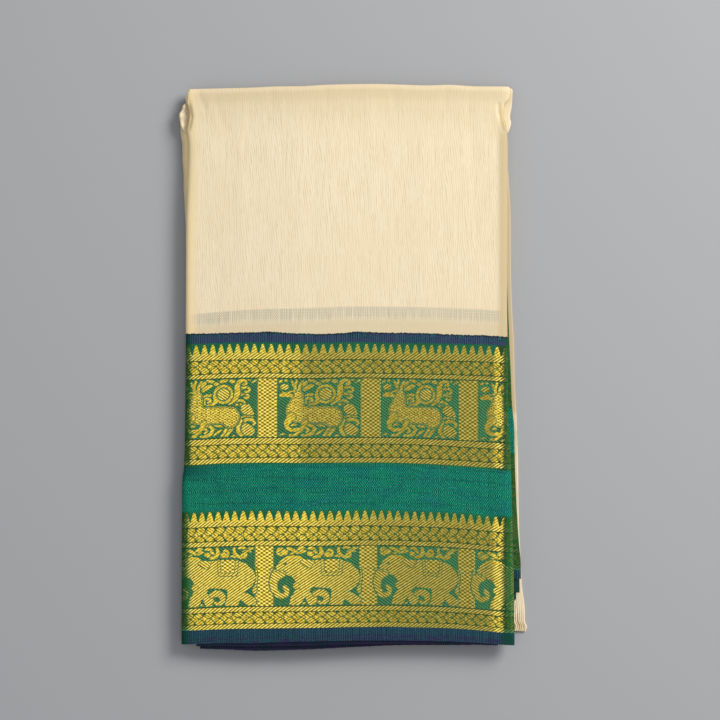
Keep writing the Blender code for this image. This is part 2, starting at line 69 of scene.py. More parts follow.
VIEW_WIDTH = 0.7704
VIEW_MIDDLE = (0.0064, 0.0091)
CAMERA_HEIGHT = 3.0
PACK_TOP = 0.0225
SENSOR = 36.0


def window(name, place, aim, size, power, tint):
    """A soft rectangular light at a place, turned to face what it is aimed at."""
    lamp = bpy.data.lights.new(name, "AREA")
    lamp.shape = "RECTANGLE"
    lamp.size, lamp.size_y = size
    lamp.energy = power
    lamp.color = tint
    holder = bpy.data.objects.new(name, lamp)
    bpy.context.scene.collection.objects.link(holder)
    holder.location = place
    holder.rotation_euler = (Vector(aim) - Vector(place)).to_track_quat("-Z", "Y").to_euler()


window("right window", (2.1, 1.68, 2.1), (0.0, 0.0, 0.0), (1.6, 1.5), 126.0, (1.0, 0.985, 0.96))
window("ceiling panel", (-0.1, -0.2, 2.8), (0.0, 0.0, 0.0), (1.8, 1.8), 12.0, (0.97, 0.985, 1.0))

room = bpy.data.worlds.new("even room")
room.use_nodes = True
room.node_tree.nodes["Background"].inputs["Color"].default_value = (0.93, 0.96, 1.0, 1.0)
room.node_tree.nodes["Background"].inputs["Strength"].default_value = 0.39
bpy.context.scene.world = room

lens = bpy.data.cameras.new("camera")
lens.sensor_width = SENSOR
lens.lens = SENSOR * CAMERA_HEIGHT / VIEW_WIDTH
camera = bpy.data.objects.new("camera", lens)
camera.location = (*VIEW_MIDDLE, CAMERA_HEIGHT + PACK_TOP)
bpy.context.scene.collection.objects.link(camera)
bpy.context.scene.camera = camera
bpy.context.scene.view_settings.view_transform = "Standard"


# Outer leaf, plain field and border
# The outermost layer: silk that comes up round the left fold, crosses the top, goes down round the right
# fold and tucks in. The field is plain cream, and below it hangs the brocaded border, down to the selvedge.

STACK_HEIGHT = 0.0243
TOP_FOLD_Y = 0.3026
SELVEDGE_Y = -0.293
SEAM_Y = 0.042
SILK = 0.0005

OUTER_TURN_LEFT = 0.0095
OUTER_TURN_RIGHT = 0.012
OUTER_COLUMNS = ("y", "left", "right", "base_left", "base_right")
OUTER_ROWS = (
    (0.3026, -0.1774, 0.1668, 0.0142, 0.0148), (0.296, -0.179, 0.1678, 0.0142, 0.0148),
    (0.289, -0.179, 0.1664, 0.0142, 0.0147), (0.283, -0.1776, 0.161, 0.0141, 0.0147),
    (0.276, -0.1766, 0.16, 0.0141, 0.0146), (0.26, -0.1787, 0.1634, 0.0139, 0.0142),
    (0.244, -0.1774, 0.1648, 0.0125, 0.0124), (0.218, -0.1781, 0.165, 0.0107, 0.0106),
    (0.19, -0.1791, 0.1649, 0.0105, 0.0105), (0.164, -0.18, 0.1648, 0.0105, 0.0105),
    (0.08, -0.1805, 0.1642, 0.0108, 0.0109), (0.032, -0.1806, 0.1646, 0.0106, 0.0106),
    (-0.03, -0.181, 0.1652, 0.0105, 0.0105), (-0.1, -0.1822, 0.1682, 0.0108, 0.0109),
    (-0.119, -0.1846, 0.1688, 0.0107, 0.0108), (-0.16, -0.1847, 0.1698, 0.0106, 0.0107),
    (-0.21, -0.185, 0.1712, 0.0105, 0.0105), (-0.293, -0.1852, 0.1722, 0.0107, 0.0108),
)

# How the whole pack has settled: its height falls away from a soft ridge, and its ends sag
RIDGE_X = -0.057
RIDGE_SOFTNESS = 0.012
LEFT_SLOPE_DROP = 0.17
RIGHT_SLOPE_DROP = 0.03
SLOPE_REACH_LEFT = 0.18
SLOPE_REACH_RIGHT = 0.17
TOP_EDGE_DROP = 0.2
TOP_EDGE_SPAN = (0.2766, 0.3086)
LOWER_EDGE_DROP = 0.07
LOWER_EDGE_SPAN = (0.233, 0.31)
SAG_COLUMNS = ("y", "left", "right")
SAG_ROWS = (
    (0.3026, 0.0046, 0.0025), (0.17, 0.0046, 0.004), (0.038, 0.0036, 0.0054), (-0.1, 0.0036, 0.0068),
    (-0.22, 0.0036, 0.006), (-0.302, 0.0036, 0.0044),
)
SAG_FLAT_FROM = -0.002
SAG_FLAT_TO = 0.028
SAG_REACH_LEFT = 0.177
SAG_REACH_RIGHT = 0.145

# Where the outer leaf's two ends stand out past the straight, by how much, in metres
END_COLUMNS = ("x", "top", "selvedge")
END_ROWS = (
    (-0.174, 0.0016, 0.001), (-0.138, 0.0008, 0.001), (-0.11, 0.0004, 0.0003), (-0.085, 0.0009, 0.0006),
    (-0.057, 0.0006, 0.001), (-0.03, 0.0018, 0.0013), (0.023, 0.0026, 0.002), (0.05, 0.0019, 0.0019),
    (0.076, 0.0013, 0.0018), (0.103, 0.0023, 0.002), (0.13, 0.0013, 0.0018), (0.156, 0.0019, 0.001),
)
TOP_END_SPAN = (0.25, 0.3026)
SELVEDGE_END_SPAN = (0.27, 0.293)


@functools.lru_cache(maxsize=None)
def eased(rows, columns, name, at):
    """The value of a named column where the first column is at, on a smooth curve through the rows."""
    column = columns.index(name)
    rows = sorted(rows)
    if at <= rows[0][0]:
        return rows[0][column]
    if at >= rows[-1][0]:
        return rows[-1][column]
    i = next(k for k in range(len(rows) - 1) if rows[k + 1][0] >= at)
    (x0, y0), (x1, y1) = ((rows[k][0], rows[k][column]) for k in (i, i + 1))
    share = (at - x0) / (x1 - x0)
    slope = (y1 - y0) / (x1 - x0)

    def tangent(k):
        if k <= 0 or k >= len(rows) - 1:
            return slope
        before = (rows[k][column] - rows[k - 1][column]) / (rows[k][0] - rows[k - 1][0])
        after = (rows[k + 1][column] - rows[k][column]) / (rows[k + 1][0] - rows[k][0])
        return 2 * before * after / (before + after) if before * after > 0 else 0.0

    rise = share * share * (3 - 2 * share) * (y1 - y0)
    lean_in = share * (1 - share) ** 2 * tangent(i) * (x1 - x0)
    lean_out = -share * share * (1 - share) * tangent(i + 1) * (x1 - x0)
    return y0 + rise + lean_in + lean_out


def smooth_step(low, high, at):
    """0 below low, 1 above high, and a smooth rise between them."""
    share = min(1.0, max(0.0, (at - low) / (high - low)))
    return share * share * (3 - 2 * share)


def height_share(x, y):
    """The settled pack's height at x and y, as a share of its full height."""
    past_ridge = RIDGE_X - x
    slope = (past_ridge + math.hypot(past_ridge, RIDGE_SOFTNESS)) / 2
    left = LEFT_SLOPE_DROP * slope / (SLOPE_REACH_LEFT + RIDGE_X)
    right = RIGHT_SLOPE_DROP * smooth_step(RIDGE_X, SLOPE_REACH_RIGHT, x)
    top = TOP_EDGE_DROP * smooth_step(*TOP_EDGE_SPAN, y)
    lower = LOWER_EDGE_DROP * smooth_step(*LOWER_EDGE_SPAN, -y)
    return (1 - left - right) * (1 - top - lower)


def sag(x, y):
    """How far the cloth at x has slipped towards the selvedges."""
    if x < SAG_FLAT_FROM:
        return eased(SAG_ROWS, SAG_COLUMNS, "left", y) * ((SAG_FLAT_FROM - x) / SAG_REACH_LEFT) ** 2
    if x > SAG_FLAT_TO:
        return eased(SAG_ROWS, SAG_COLUMNS, "right", y) * ((x - SAG_FLAT_TO) / SAG_REACH_RIGHT) ** 2
    return 0.0


def settle(x, y, z):
    """A point of the straight stack, where it lies in the settled one."""
    return (x, y - sag(x, y), z * height_share(x, y))


# Creases pressed into the outer leaf, each a start, an end, a half width and a height, in metres
CREASES = (
    ((-0.0585, 0.03), (-0.0602, -0.29), 0.0052, 0.00055),
    ((0.1405, 0.025), (0.1452, -0.29), 0.0036, -0.0004),
    ((-0.148, 0.1), (-0.149, -0.26), 0.006, -0.00035), ((0.154, 0.285), (0.1548, 0.274), 0.002, -0.0011),
    ((0.155, 0.274), (0.16, 0.256), 0.0019, -0.0011), ((-0.1772, 0.29), (-0.174, 0.273), 0.0017, -0.0012),
    ((-0.174, 0.273), (-0.1768, 0.259), 0.0015, -0.0011),
    ((-0.165, 0.2965), (-0.16, 0.28), 0.003, -0.0006), ((0.124, 0.29), (0.13, 0.15), 0.004, -0.0003),
    ((-0.123, 0.285), (-0.118, 0.12), 0.007, 0.00035), ((-0.042, 0.295), (-0.045, 0.08), 0.009, -0.00025),
    ((0.015, 0.295), (0.021, 0.17), 0.006, 0.00025), ((0.072, 0.28), (0.07, 0.06), 0.01, 0.0003),
    ((-0.09, 0.299), (-0.086, 0.274), 0.003, -0.00045), ((-0.031, 0.3), (-0.029, 0.279), 0.0026, -0.0004),
    ((0.041, 0.3), (0.045, 0.272), 0.0032, -0.00045), ((0.099, 0.299), (0.097, 0.278), 0.0024, -0.0004),
    ((-0.15, 0.295), (-0.138, 0.26), 0.003, -0.0005), ((0.03, -0.065), (0.029, -0.288), 0.008, 0.00022),
    ((0.09, 0.01), (0.093, -0.2), 0.007, -0.00022), ((-0.108, -0.02), (-0.105, -0.29), 0.006, 0.00022),
)


def crease(x, y):
    """How high the pressed creases lift the cloth at x and y."""
    lift = 0.0
    for (x0, y0), (x1, y1), half_width, height in CREASES:
        along = ((x - x0) * (x1 - x0) + (y - y0) * (y1 - y0)) / ((x1 - x0) ** 2 + (y1 - y0) ** 2)
        if not -0.2 < along < 1.2:
            continue
        off = math.hypot(x - x0 - along * (x1 - x0), y - y0 - along * (y1 - y0)) / half_width
        if off < 2.6:
            fade = smooth_step(-0.2, 0.12, along) * (1 - smooth_step(0.88, 1.2, along))
            lift += height * fade * math.exp(-off * off)
    return lift


# The section across the pack: u runs from the left arm, over the top, to the right arm
FLAT_FROM = -0.165
FLAT_TO = 0.1476
TURN_STEPS = 20
TURN_SQUARENESS = 0.78
ARM = 0.006
FREE_TURN = 0.018


@functools.lru_cache(maxsize=None)
def fold_path(edge, depth, base, flat_end):
    """Points round one fold of the outer leaf, from its flat top inwards, with their distances."""
    side = math.copysign(1.0, edge)
    points = [(flat_end, STACK_HEIGHT)]
    for k in range(TURN_STEPS + 1):
        angle = math.radians(90 - 180 * k / TURN_STEPS)
        out, up = max(0.0, math.cos(angle)), math.sin(angle)
        if up > 0:
            out, up = out**TURN_SQUARENESS, up**TURN_SQUARENESS
        x = edge - side * depth * (1 - out)
        z = (base + STACK_HEIGHT) / 2 + (STACK_HEIGHT - base) / 2 * up
        points.append((x, z))
    points.append((edge - side * (depth + ARM), base))
    distances = [0.0]
    for (x0, z0), (x1, z1) in zip(points, points[1:]):
        distances.append(distances[-1] + math.hypot(x1 - x0, z1 - z0))
    return np.array(points), np.array(distances)


def outer_row(y, threads):
    """The outer leaf's straight section at y: for each thread's place, its point and its outward normal."""
    left, right, base_left, base_right = (
        eased(OUTER_ROWS, OUTER_COLUMNS, name, y) for name in OUTER_COLUMNS[1:]
    )
    spots = np.empty((len(threads), 2))
    spots[:, 0] = threads
    spots[:, 1] = STACK_HEIGHT
    for outside, edge, depth, base, flat_end in (
        (FLAT_FROM - threads, left, OUTER_TURN_LEFT, base_left, FLAT_FROM),
        (threads - FLAT_TO, right, OUTER_TURN_RIGHT, base_right, FLAT_TO),
    ):
        turned = outside > 0
        path, distances = fold_path(edge, depth, base, flat_end)
        squeeze = (distances[-1] - FREE_TURN) / (outside.max() - FREE_TURN)
        gone = np.where(outside < FREE_TURN, outside, FREE_TURN + (outside - FREE_TURN) * squeeze)
        for axis in (0, 1):
            spots[turned, axis] = np.interp(gone[turned], distances, path[:, axis])
    along = np.gradient(spots, axis=0)
    along /= np.linalg.norm(along, axis=1)[:, None]
    return spots, np.stack([-along[:, 1], along[:, 0]], axis=1)


# The lip where the outer leaf turns down over the top fold: distance before the fold, and depth
LIP_ROWS = (
    (0.006, 0.0), (0.0038, 0.0001), (0.0021, 0.0006), (0.0009, 0.0014), (0.0002, 0.0025), (0.0, 0.004)
)
LIP_DEPTH = 0.004
LIP_DEPTH_AT_SIDES = 0.0012


def outer_places(rows, threads, inwards=0.0):
    """Where the outer leaf's threads lie, row by row, drawn in by a thickness for its inner face."""
    places = np.empty((len(rows), len(threads), 3))
    for i, (y, depth) in enumerate(rows):
        spots, outwards = outer_row(min(y, TOP_FOLD_Y), threads)
        on_side = np.clip(1 - np.abs(outwards[:, 1]), 0, 1)
        depths = depth * (1 + on_side * (LIP_DEPTH_AT_SIDES / LIP_DEPTH - 1)) + inwards
        for j in range(len(threads)):
            x, z = spots[j] - outwards[j] * depths[j]
            lift = crease(x, y) * max(0.0, outwards[j, 1])
            top, selvedge = (eased(END_ROWS, END_COLUMNS, name, round(x, 5)) for name in END_COLUMNS[1:])
            out = smooth_step(*TOP_END_SPAN, y) * top
            out += smooth_step(*SELVEDGE_END_SPAN, -y) * selvedge
            places[i, j] = settle(x, y + out, z + lift)
    return places


# The weave's measure in millimetres: u counts the border's columns evenly, v runs up from the selvedge
COLUMN_PITCH = 107.5
COLUMN_MIDDLES = (-0.2017, -0.0947, 0.0165, 0.1207, 0.2277)


def thread_number(x):
    """The border repeat's own measure across, in millimetres, at a thread's place in metres."""
    return np.interp(x, COLUMN_MIDDLES, [COLUMN_PITCH * k for k in (-2, -1, 0, 1, 2)])


# How far the border's bands have slipped out of true, in millimetres, along four heights of it
SLIP_HEIGHTS = (18.0, 131.0, 200.0, 313.0)
SLIPS = (
    (-0.167, -0.8, 0.5, 1.4, 1.9), (-0.142, -0.5, 0.8, 2.1, 2.1), (-0.116, -0.3, 0.8, 1.9, 2.1),
    (-0.09, -0.8, 0.3, 1.6, 1.3), (-0.064, -0.8, -0.3, 0.8, 0.3), (-0.039, -1.0, -0.8, 0.8, 0.0),
    (-0.013, -0.5, -0.5, 0.8, 0.7), (0.013, -0.3, 0.0, 0.8, 0.5), (0.038, 0.0, -0.3, 0.8, 0.0),
    (0.064, -0.5, -0.8, 0.3, 0.0), (0.09, -0.3, -0.8, 0.0, 0.3), (0.115, -0.8, -1.3, -0.3, 0.8),
    (0.141, -1.6, -2.1, -0.3, 1.7), (0.152, -2.3, -2.1, 0.0, 1.5),
)
SLIP_FADE = ((0.0, 6.0, 340.0, 420.0), (0.0, 1.0, 1.0, 0.0))
# How far the lower bands are drawn in sideways
SIDE_SLIPS = (
    (-0.186, 0.0), (-0.172, 0.6), (-0.154, 1.6), (-0.128, 1.8), (-0.105, 1.0), (-0.08, 0.0), (0.04, 0.0),
    (0.062, -0.9), (0.085, -0.8), (0.11, 0.0),
)
SIDE_SLIP_FADE = ((20.0, 40.0, 150.0, 185.0), (0.0, 1.0, 1.0, 0.0))


def weave_of(rows, threads):
    """The weave's measure of each point of the outer leaf: u across the repeat, v up from its selvedge."""
    v = np.array([(y + depth - SELVEDGE_Y) / MM for y, depth in rows])
    places, *heights = zip(*SLIPS)
    slips = np.array([np.interp(threads, places, height) for height in heights])
    slip = np.array([[np.interp(at, SLIP_HEIGHTS, slips[:, j]) for j in range(len(threads))] for at in v])
    slip *= np.interp(v, *SLIP_FADE)[:, None]
    u, v = np.meshgrid(thread_number(np.asarray(threads)), v)
    drawn_in = np.interp(threads, *zip(*SIDE_SLIPS)) * np.interp(v, *SIDE_SLIP_FADE)
    return np.stack([u + drawn_in, v - slip], axis=-1)


# Figures of the brocade, drawn in millimetres in one repeat. Each is a signed distance, negative inside.


def oval(p, middle, radii, turn=0.0):
    """A turned ellipse."""
    dx, dy = p[0] - middle[0], p[1] - middle[1]
    c, s = math.cos(math.radians(turn)), math.sin(math.radians(turn))
    reach = np.hypot((dx * c + dy * s) / radii[0], (dy * c - dx * s) / radii[1])
    return (reach - 1) * min(radii)


def stroke(p, *stops):
    """A brush stroke through stops, each a point and the brush's radius there."""
    least = np.full(p[0].shape, 1e3)
    for (ax, ay, ar), (bx, by, br) in zip(stops, stops[1:]):
        length = (bx - ax) ** 2 + (by - ay) ** 2
        along = np.clip(((p[0] - ax) * (bx - ax) + (p[1] - ay) * (by - ay)) / length, 0, 1)
        away = np.hypot(p[0] - ax - along * (bx - ax), p[1] - ay - along * (by - ay))
        least = np.minimum(least, away - ar - along * (br - ar))
    return least


def flap(p, points, rounding):
    """A rounded patch with straight sides between its points."""
    least = np.full(p[0].shape, 1e6)
    inside = np.zeros(p[0].shape, bool)
    for (ax, ay), (bx, by) in zip(points, points[1:] + points[:1]):
        length = (bx - ax) ** 2 + (by - ay) ** 2
        along = np.clip(((p[0] - ax) * (bx - ax) + (p[1] - ay) * (by - ay)) / length, 0, 1)
        least = np.minimum(least, np.hypot(p[0] - ax - along * (bx - ax), p[1] - ay - along * (by - ay)))
        crosses = (ay > p[1]) != (by > p[1])
        inside ^= crosses & (p[0] < ax + (p[1] - ay) * (bx - ax) / ((by - ay) or 1e-9))
    return np.where(inside, -least, least) - rounding


def curl(p, middle, radius, turns, start, brush, hand):
    """A stroke that curls inwards round a middle, from an angle in degrees."""
    stops = []
    steps = max(6, round(10 * turns))
    for k in range(steps + 1):
        share = k / steps
        angle = math.radians(start) + hand * 2 * math.pi * turns * share
        reach = radius * (1 - 0.72 * share)
        x, y = middle[0] + reach * math.cos(angle), middle[1] + reach * math.sin(angle)
        stops.append((x, y, brush * (1 - 0.35 * share)))
    return stroke(p, *stops)


def leaf_shape(p, root, tip, width, bow=0.0):
    """A pointed leaf from its root to its tip, bowed to its left."""
    (ax, ay), (bx, by) = root, tip
    stops = []
    for along, brush in ((0.0, 0.3), (0.25, 0.8), (0.5, 1.0), (0.75, 0.72), (1.0, 0.15)):
        side = bow * math.sin(math.pi * along)
        x = ax + along * (bx - ax) - side * (by - ay)
        y = ay + along * (by - ay) + side * (bx - ax)
        stops.append((x, y, brush * width))
    return stroke(p, *stops)


def over(gold, *shapes, gap):
    """Lays shapes over the gold one after another, each with a thin line of ground round it."""
    for shape in shapes:
        gold = np.minimum(np.maximum(gold, gap - shape), shape)
    return gold


def elephant(p):
    """A walking elephant that faces left: its gold, saddle cloth, ear and trunk, and saddle's rim."""
    tail = stroke(p, (98.4, 39, 0.6), (99.2, 30, 0.6), (97.8, 21.5, 0.7))
    tail = np.minimum(tail, oval(p, (96.8, 16.8), (2.1, 3.6), -6))
    far_front = flap(p, [(44, 13), (49.5, 11.4), (52.6, 6.5), (50.4, 2.6), (46, 2), (43.2, 7)], 1.3)
    far_back = flap(p, [(83, 14), (90, 11.4), (97.4, 5.6), (96.2, 2.5), (89.8, 2), (82.6, 8.6)], 1.3)
    back = [(30, 42), (40, 47.4), (50, 46.2), (61, 47.5), (77, 47.1), (87, 42.8), (94, 35.8), (96, 29)]
    underside = [(93, 23), (85, 16.4), (76, 14), (71, 18.4), (66, 20.6), (50, 22.2), (42, 19), (34, 19)]
    body = flap(p, back + underside + [(33, 27), (28, 34)], 2.0)
    near_back = flap(p, [(70, 17), (82, 13), (80.2, 8), (78, 2), (67.6, 2), (69.8, 9)], 1.7)
    near_front = flap(
        p, [(36, 21), (45, 18), (38.6, 9), (34.4, 2), (26.8, 2), (27.8, 8), (31.6, 14)], 1.8
    )
    crown = [(13, 40.4), (16.6, 45.8), (22, 50.4), (28.6, 51.8), (35.4, 50.8), (40, 47)]
    head = flap(p, crown + [(37, 36), (24, 34.2), (17, 38)], 2.0)
    lip = oval(p, (32.2, 21), (3.7, 3.4))
    trunk = stroke(
        p, (17, 34, 3.8), (10.8, 32, 5), (8.4, 25, 4.3), (9.2, 17.6, 3.5), (12.4, 11.8, 3), (17, 10, 2.8),
        (21.4, 12.4, 2.9), (22.6, 16.2, 2.3), (20.2, 19.4, 2.6),
    )
    tusk = stroke(p, (5.8, 38.4, 0.6), (12, 36.8, 0.8), (19.4, 36.4, 0.9))
    gold = over(tail, far_back, far_front, gap=1.0)
    gold = over(gold, body, gap=0.9)
    gold = over(gold, near_back, near_front, head, gap=0.0)
    gold = over(gold, lip, gap=0.7)
    gold = over(gold, trunk, gap=0.8)
    gold = over(gold, tusk, gap=0.7)
    gold = np.maximum(gold, 0.8 - p[1])
    scroll = stroke(
        p, (51.6, 12.8, 3), (55, 14.2, 3.3), (59.6, 13.6, 3.3), (62.8, 10.6, 3.1), (63.2, 6.6, 2.7),
        (60.6, 3.6, 2.1), (57, 3, 1.6), (54.8, 4.8, 1.2),
    )
    gold = over(gold, scroll, oval(p, (40.2, 2.4), (1.7, 1)), gap=1.1)
    wrap = flap(p, [(60.6, 34.4), (76.6, 34.4), (78, 48.6), (59.6, 48.6)], 2.4)
    saddle = flap(p, [(62.6, 37), (74.6, 37), (75.2, 48.2), (62, 48.2)], 1.7)
    ear = flap(p, [(36.8, 46.4), (40, 49.8), (48, 49.9), (49.8, 46.4), (45.8, 41.4), (41, 43)], 1.2)
    gold = np.maximum(gold, 0.3 - oval(p, (20.2, 44.6), (1.5, 0.8), 35))
    return gold, saddle, np.minimum(ear, np.maximum(trunk, -gold - 9)), wrap


def long_vine(p):
    """A running vine of leaves, buds and curls above the animals."""
    gold = stroke(p, (23, 61.2, 1.2), (28.6, 59.4, 1.7), (33.4, 56.2, 1.1))
    for root, tip, width in (
        ((11.6, 57), (18, 61.2), 1.6), ((11.8, 55.6), (17.6, 52.6), 1.5), ((33, 59.6), (40.8, 61.6), 1.9),
        ((34.6, 55.8), (42.6, 58.2), 1.7), ((43.6, 61), (52.2, 59.8), 1.7),
        ((49.6, 58.4), (54, 55.2), 1.3), ((60.6, 52.4), (69.8, 51.6), 1.2),
        ((71, 52.8), (77.2, 51.4), 1.1), ((79.6, 61.2), (88, 60.8), 1.5), ((89, 58.8), (96, 61.2), 1.5),
        ((84, 57.6), (93.6, 57), 1.1),
    ):
        gold = over(gold, leaf_shape(p, root, tip, width, 0.12), gap=0.8)
    gold = over(gold, oval(p, (19.6, 56.8), (3.9, 2.8), 10), gap=0.8)
    gold = over(
        gold, oval(p, (26.8, 54.6), (2.6, 1.7), 30), oval(p, (46.4, 55.4), (3.4, 2.3), -10), gap=0.8
    )
    stem = stroke(p, (50, 51.6, 1.2), (55.6, 52.8, 1.8), (58.4, 57, 1.9), (56.8, 61.6, 1.3))
    arm = stroke(p, (75.4, 61.2, 1.3), (75.6, 56.8, 1.5), (79.6, 52.6, 1.4), (83, 50.6, 1))
    gold = over(gold, stem, arm, gap=0.9)
    gold = over(gold, curl(p, (66, 56.8), 4.5, 1.2, 200, 1.3, 1), gap=0.9)
    return over(gold, curl(p, (85, 53.8), 3.4, 1.05, 60, 1.25, -1), gap=0.9)


def beast(p):
    """A horned beast with a leafy tail, which walks to the left: its gold, hide, rosette and leaves."""
    upper = np.clip((p[1] - 30) / 4, 0, 1)
    p = (p[0] - 1.5 - np.interp(p[0], (40, 58), (0, 1)) * (1.4 * upper - 0.5), p[1])
    gold = np.full(p[0].shape, 1e3)
    for root, tip, width, bow in (
        ((36.8, 49.6), (49.6, 56.6), 2.6, 0.08), ((36.6, 54.2), (43.8, 61.2), 2, 0.08),
        ((38.2, 44.8), (48.6, 46.8), 2.3, -0.06), ((24.8, 61), (27.6, 53), 1.7, 0.12),
        ((89.8, 57.8), (97, 61), 1.2, 0.1), ((24.6, 12.6), (31.2, 13.4), 1.5, 0.1),
        ((47.8, 14.2), (61, 10.8), 2.3, 0.1), ((50.2, 1.8), (60.6, 8.6), 1.7, 0.06),
        ((47.4, 4.8), (54, 9.8), 1.4, 0.06), ((70.4, 1.6), (75.4, 1.8), 1.2, 0),
        ((70.8, 35.6), (77, 33.4), 1.4, 0.1), ((83, 31), (83.6, 37.6), 1.5, 0.1),
        ((12.4, 1.8), (20.4, 3.2), 1, 0.1),
    ):
        gold = over(gold, leaf_shape(p, root, tip, width, bow), gap=0.75)
    garland = stroke(
        p, (43.4, 61.6, 1.5), (48, 60.2, 1.8), (52.4, 57.8, 2.2), (57.4, 60, 1.9), (64, 61.4, 1.5)
    )
    gold = over(
        gold, garland, oval(p, (52.4, 57.6), (3, 2)), oval(p, (69.4, 60), (3.4, 2.1), -8), gap=0.8
    )
    flower = oval(p, (18.2, 54), (4.7, 3.2), 12)
    gold = over(
        gold, oval(p, (14.4, 60), (2.5, 1.6), 20), oval(p, (19.8, 60.8), (2.4, 1.5), -15), flower, gap=0.8
    )
    gold = over(gold, oval(p, (87.6, 61), (2.4, 1.1)), gap=0.8)

    # tail: a stem that rises behind the rosette and throws off hooked branches
    for branch in (
        (
            (70, 36.8, 1.7), (75, 39.2, 1.5), (80, 39.2, 1.4), (83.2, 36.8, 1.3), (81.2, 34.2, 1.2),
            (78.4, 35.2, 1.4),
        ),
        (
            (73.6, 41.6, 1.9), (78, 45.8, 1.5), (83.2, 46.8, 1.4), (87.2, 44.6, 1.3), (86, 41.6, 1.2),
            (82.6, 42, 1.5),
        ),
        (
            (75, 48.4, 2), (79.2, 52.6, 1.6), (84.4, 53.8, 1.4), (88.2, 51.4, 1.3), (87, 48.4, 1.3),
            (83.6, 48.6, 1.5),
        ),
    ):
        gold = over(gold, stroke(p, *branch), gap=0.8)
    stem = stroke(
        p, (66.6, 36, 1.7), (72.6, 41.2, 2.6), (75, 48, 3.3), (74.6, 54, 3), (76.2, 58.8, 2.2),
        (80, 61.2, 1.7), (84, 60, 1.5), (84.6, 57, 1.3), (81.4, 56.4, 1.5),
    )
    gold = over(gold, stem, gap=0.8)
    rosette = oval(p, (59.8, 46.4), (10.6, 10.4), 8)
    ring = np.maximum(rosette, -(rosette + 3.0))
    drop = stroke(p, (50.6, 45, 1.9), (51.8, 38.8, 2.2), (48, 35.4, 1.9), (42, 35.2, 1.5))
    ring = np.minimum(ring, drop)
    heart = rosette + 3.9
    gold = over(gold, np.minimum(ring, heart), gap=0.9)
    neck_curl = (
        (40.4, 36.6, 1.2), (39.4, 39.8, 1.4), (41.8, 42.4, 1.5), (45.8, 41.8, 1.4), (46.6, 38.8, 1.2),
        (43.8, 38.4, 1.3),
    )
    gold = over(gold, stroke(p, *neck_curl), gap=0.8)

    # foliage beside and under the beast
    tail_leaf = flap(
        p, [(81, 33.2), (86.2, 33.8), (90.8, 29.4), (92.6, 24.6), (86, 24.8), (81.4, 28.4)], 1.7
    )
    bud = flap(
        p, [(83.2, 13.4), (81.4, 7.6), (84.6, 3.6), (90.8, 3.2), (93.8, 6.8), (90.8, 10.6), (87, 12.8)],
        1.7,
    )
    gold = over(gold, tail_leaf, gap=0.9)
    gold = over(gold, stroke(p, (77.4, 20.2, 1), (83.6, 22.6, 1.1), (93, 21.4, 1.1)), gap=0.7)
    hoop = stroke(
        p, (82.2, 16.8, 1.7), (87, 19.2, 1.8), (92.2, 18.4, 1.8), (95, 15.2, 1.5), (93, 12.8, 1.2)
    )
    gold = over(gold, hoop, gap=0.8)
    gold = over(gold, bud, gap=0.9)
    stalk = stroke(p, (80.6, 1.8, 1.7), (77, 6.6, 2.3), (77.2, 12.6, 2.3), (80.2, 17.8, 1.7))
    gold = over(gold, stalk, gap=0.8)
    swirl = stroke(
        p, (40.6, 13, 1.4), (46.4, 13, 1.7), (49.6, 9.2, 2), (47.4, 4.4, 2), (42.2, 2.2, 1.7),
        (36.4, 2.2, 1.4),
    )
    hook = stroke(
        p, (35.6, 6.4, 1.3), (37.2, 9.8, 1.4), (41.4, 10.2, 1.4), (43.4, 7.4, 1.3), (40.6, 5.8, 1.3)
    )
    gold = over(gold, swirl, hook, gap=0.75)

    # legs, body, neck and head
    hind = stroke(p, (63.8, 1.6, 1.9), (67.6, 6.6, 2.1), (71.6, 13, 3))
    kick = stroke(p, (59.4, 1.6, 1.5), (63, 6.8, 1.6), (66.4, 12.6, 2.2))
    front = stroke(p, (24, 2, 1.5), (30, 2.8, 1.6), (35.4, 8.8, 1.9), (39.4, 16, 3))
    raised = stroke(
        p, (25.2, 22, 4.6), (20.4, 15.6, 3), (20.4, 10.4, 2.2), (25.6, 7.6, 2), (32.6, 8.6, 1.9)
    )
    hide = np.minimum(oval(p, (29.6, 28.4), (10.2, 11.8)), oval(p, (68.4, 21.6), (10.4, 11.4), -6))
    barrel = [
        (30, 18), (45, 17.4), (62, 16.8), (72, 19), (75.4, 24), (70, 30.2), (58, 31.4), (42, 31), (32, 33)
    ]
    hide = np.minimum(hide, flap(p, barrel, 2.4))
    neck = stroke(p, (30.4, 33, 9), (31.6, 40.6, 7), (32.4, 45.6, 5.6))
    head = stroke(p, (31.8, 46.4, 5.2), (25.8, 46.6, 3.7), (19.6, 45.8, 2.7), (14.4, 45, 1.9))
    head = np.minimum(head, oval(p, (16.6, 48.2), (1.4, 1)))
    horns = np.minimum(
        stroke(p, (29.6, 50.4, 1.7), (28.8, 55.6, 1.7), (31, 61.2, 1.4)),
        stroke(p, (33.6, 50.6, 1.8), (34, 56, 1.6), (37.2, 60.8, 1.1)),
    )
    gold = over(gold, hind, kick, gap=0.75)
    gold = over(gold, np.minimum(hide, neck), gap=0.9)
    gold = over(gold, front, raised, gap=0.0)
    gold = over(gold, horns, head, gap=0.0)
    gold = np.maximum(gold, 0.35 - oval(p, (26, 47.6), (1.4, 0.6), 8))
    gold = np.maximum(gold, 0.7 - p[1])
    scaly = np.maximum(np.minimum(hide, neck) + 0.9, np.maximum(0.6 - raised, 0.6 - front))
    return gold, scaly, heart, np.minimum(np.minimum(tail_leaf, bud), flower)


# The border's bands, in millimetres up from the selvedge
ELEPHANT_BAND = (40.4, 103.6)
BEAST_BAND = (219.0, 281.8)
FAR_OFF = 5.0


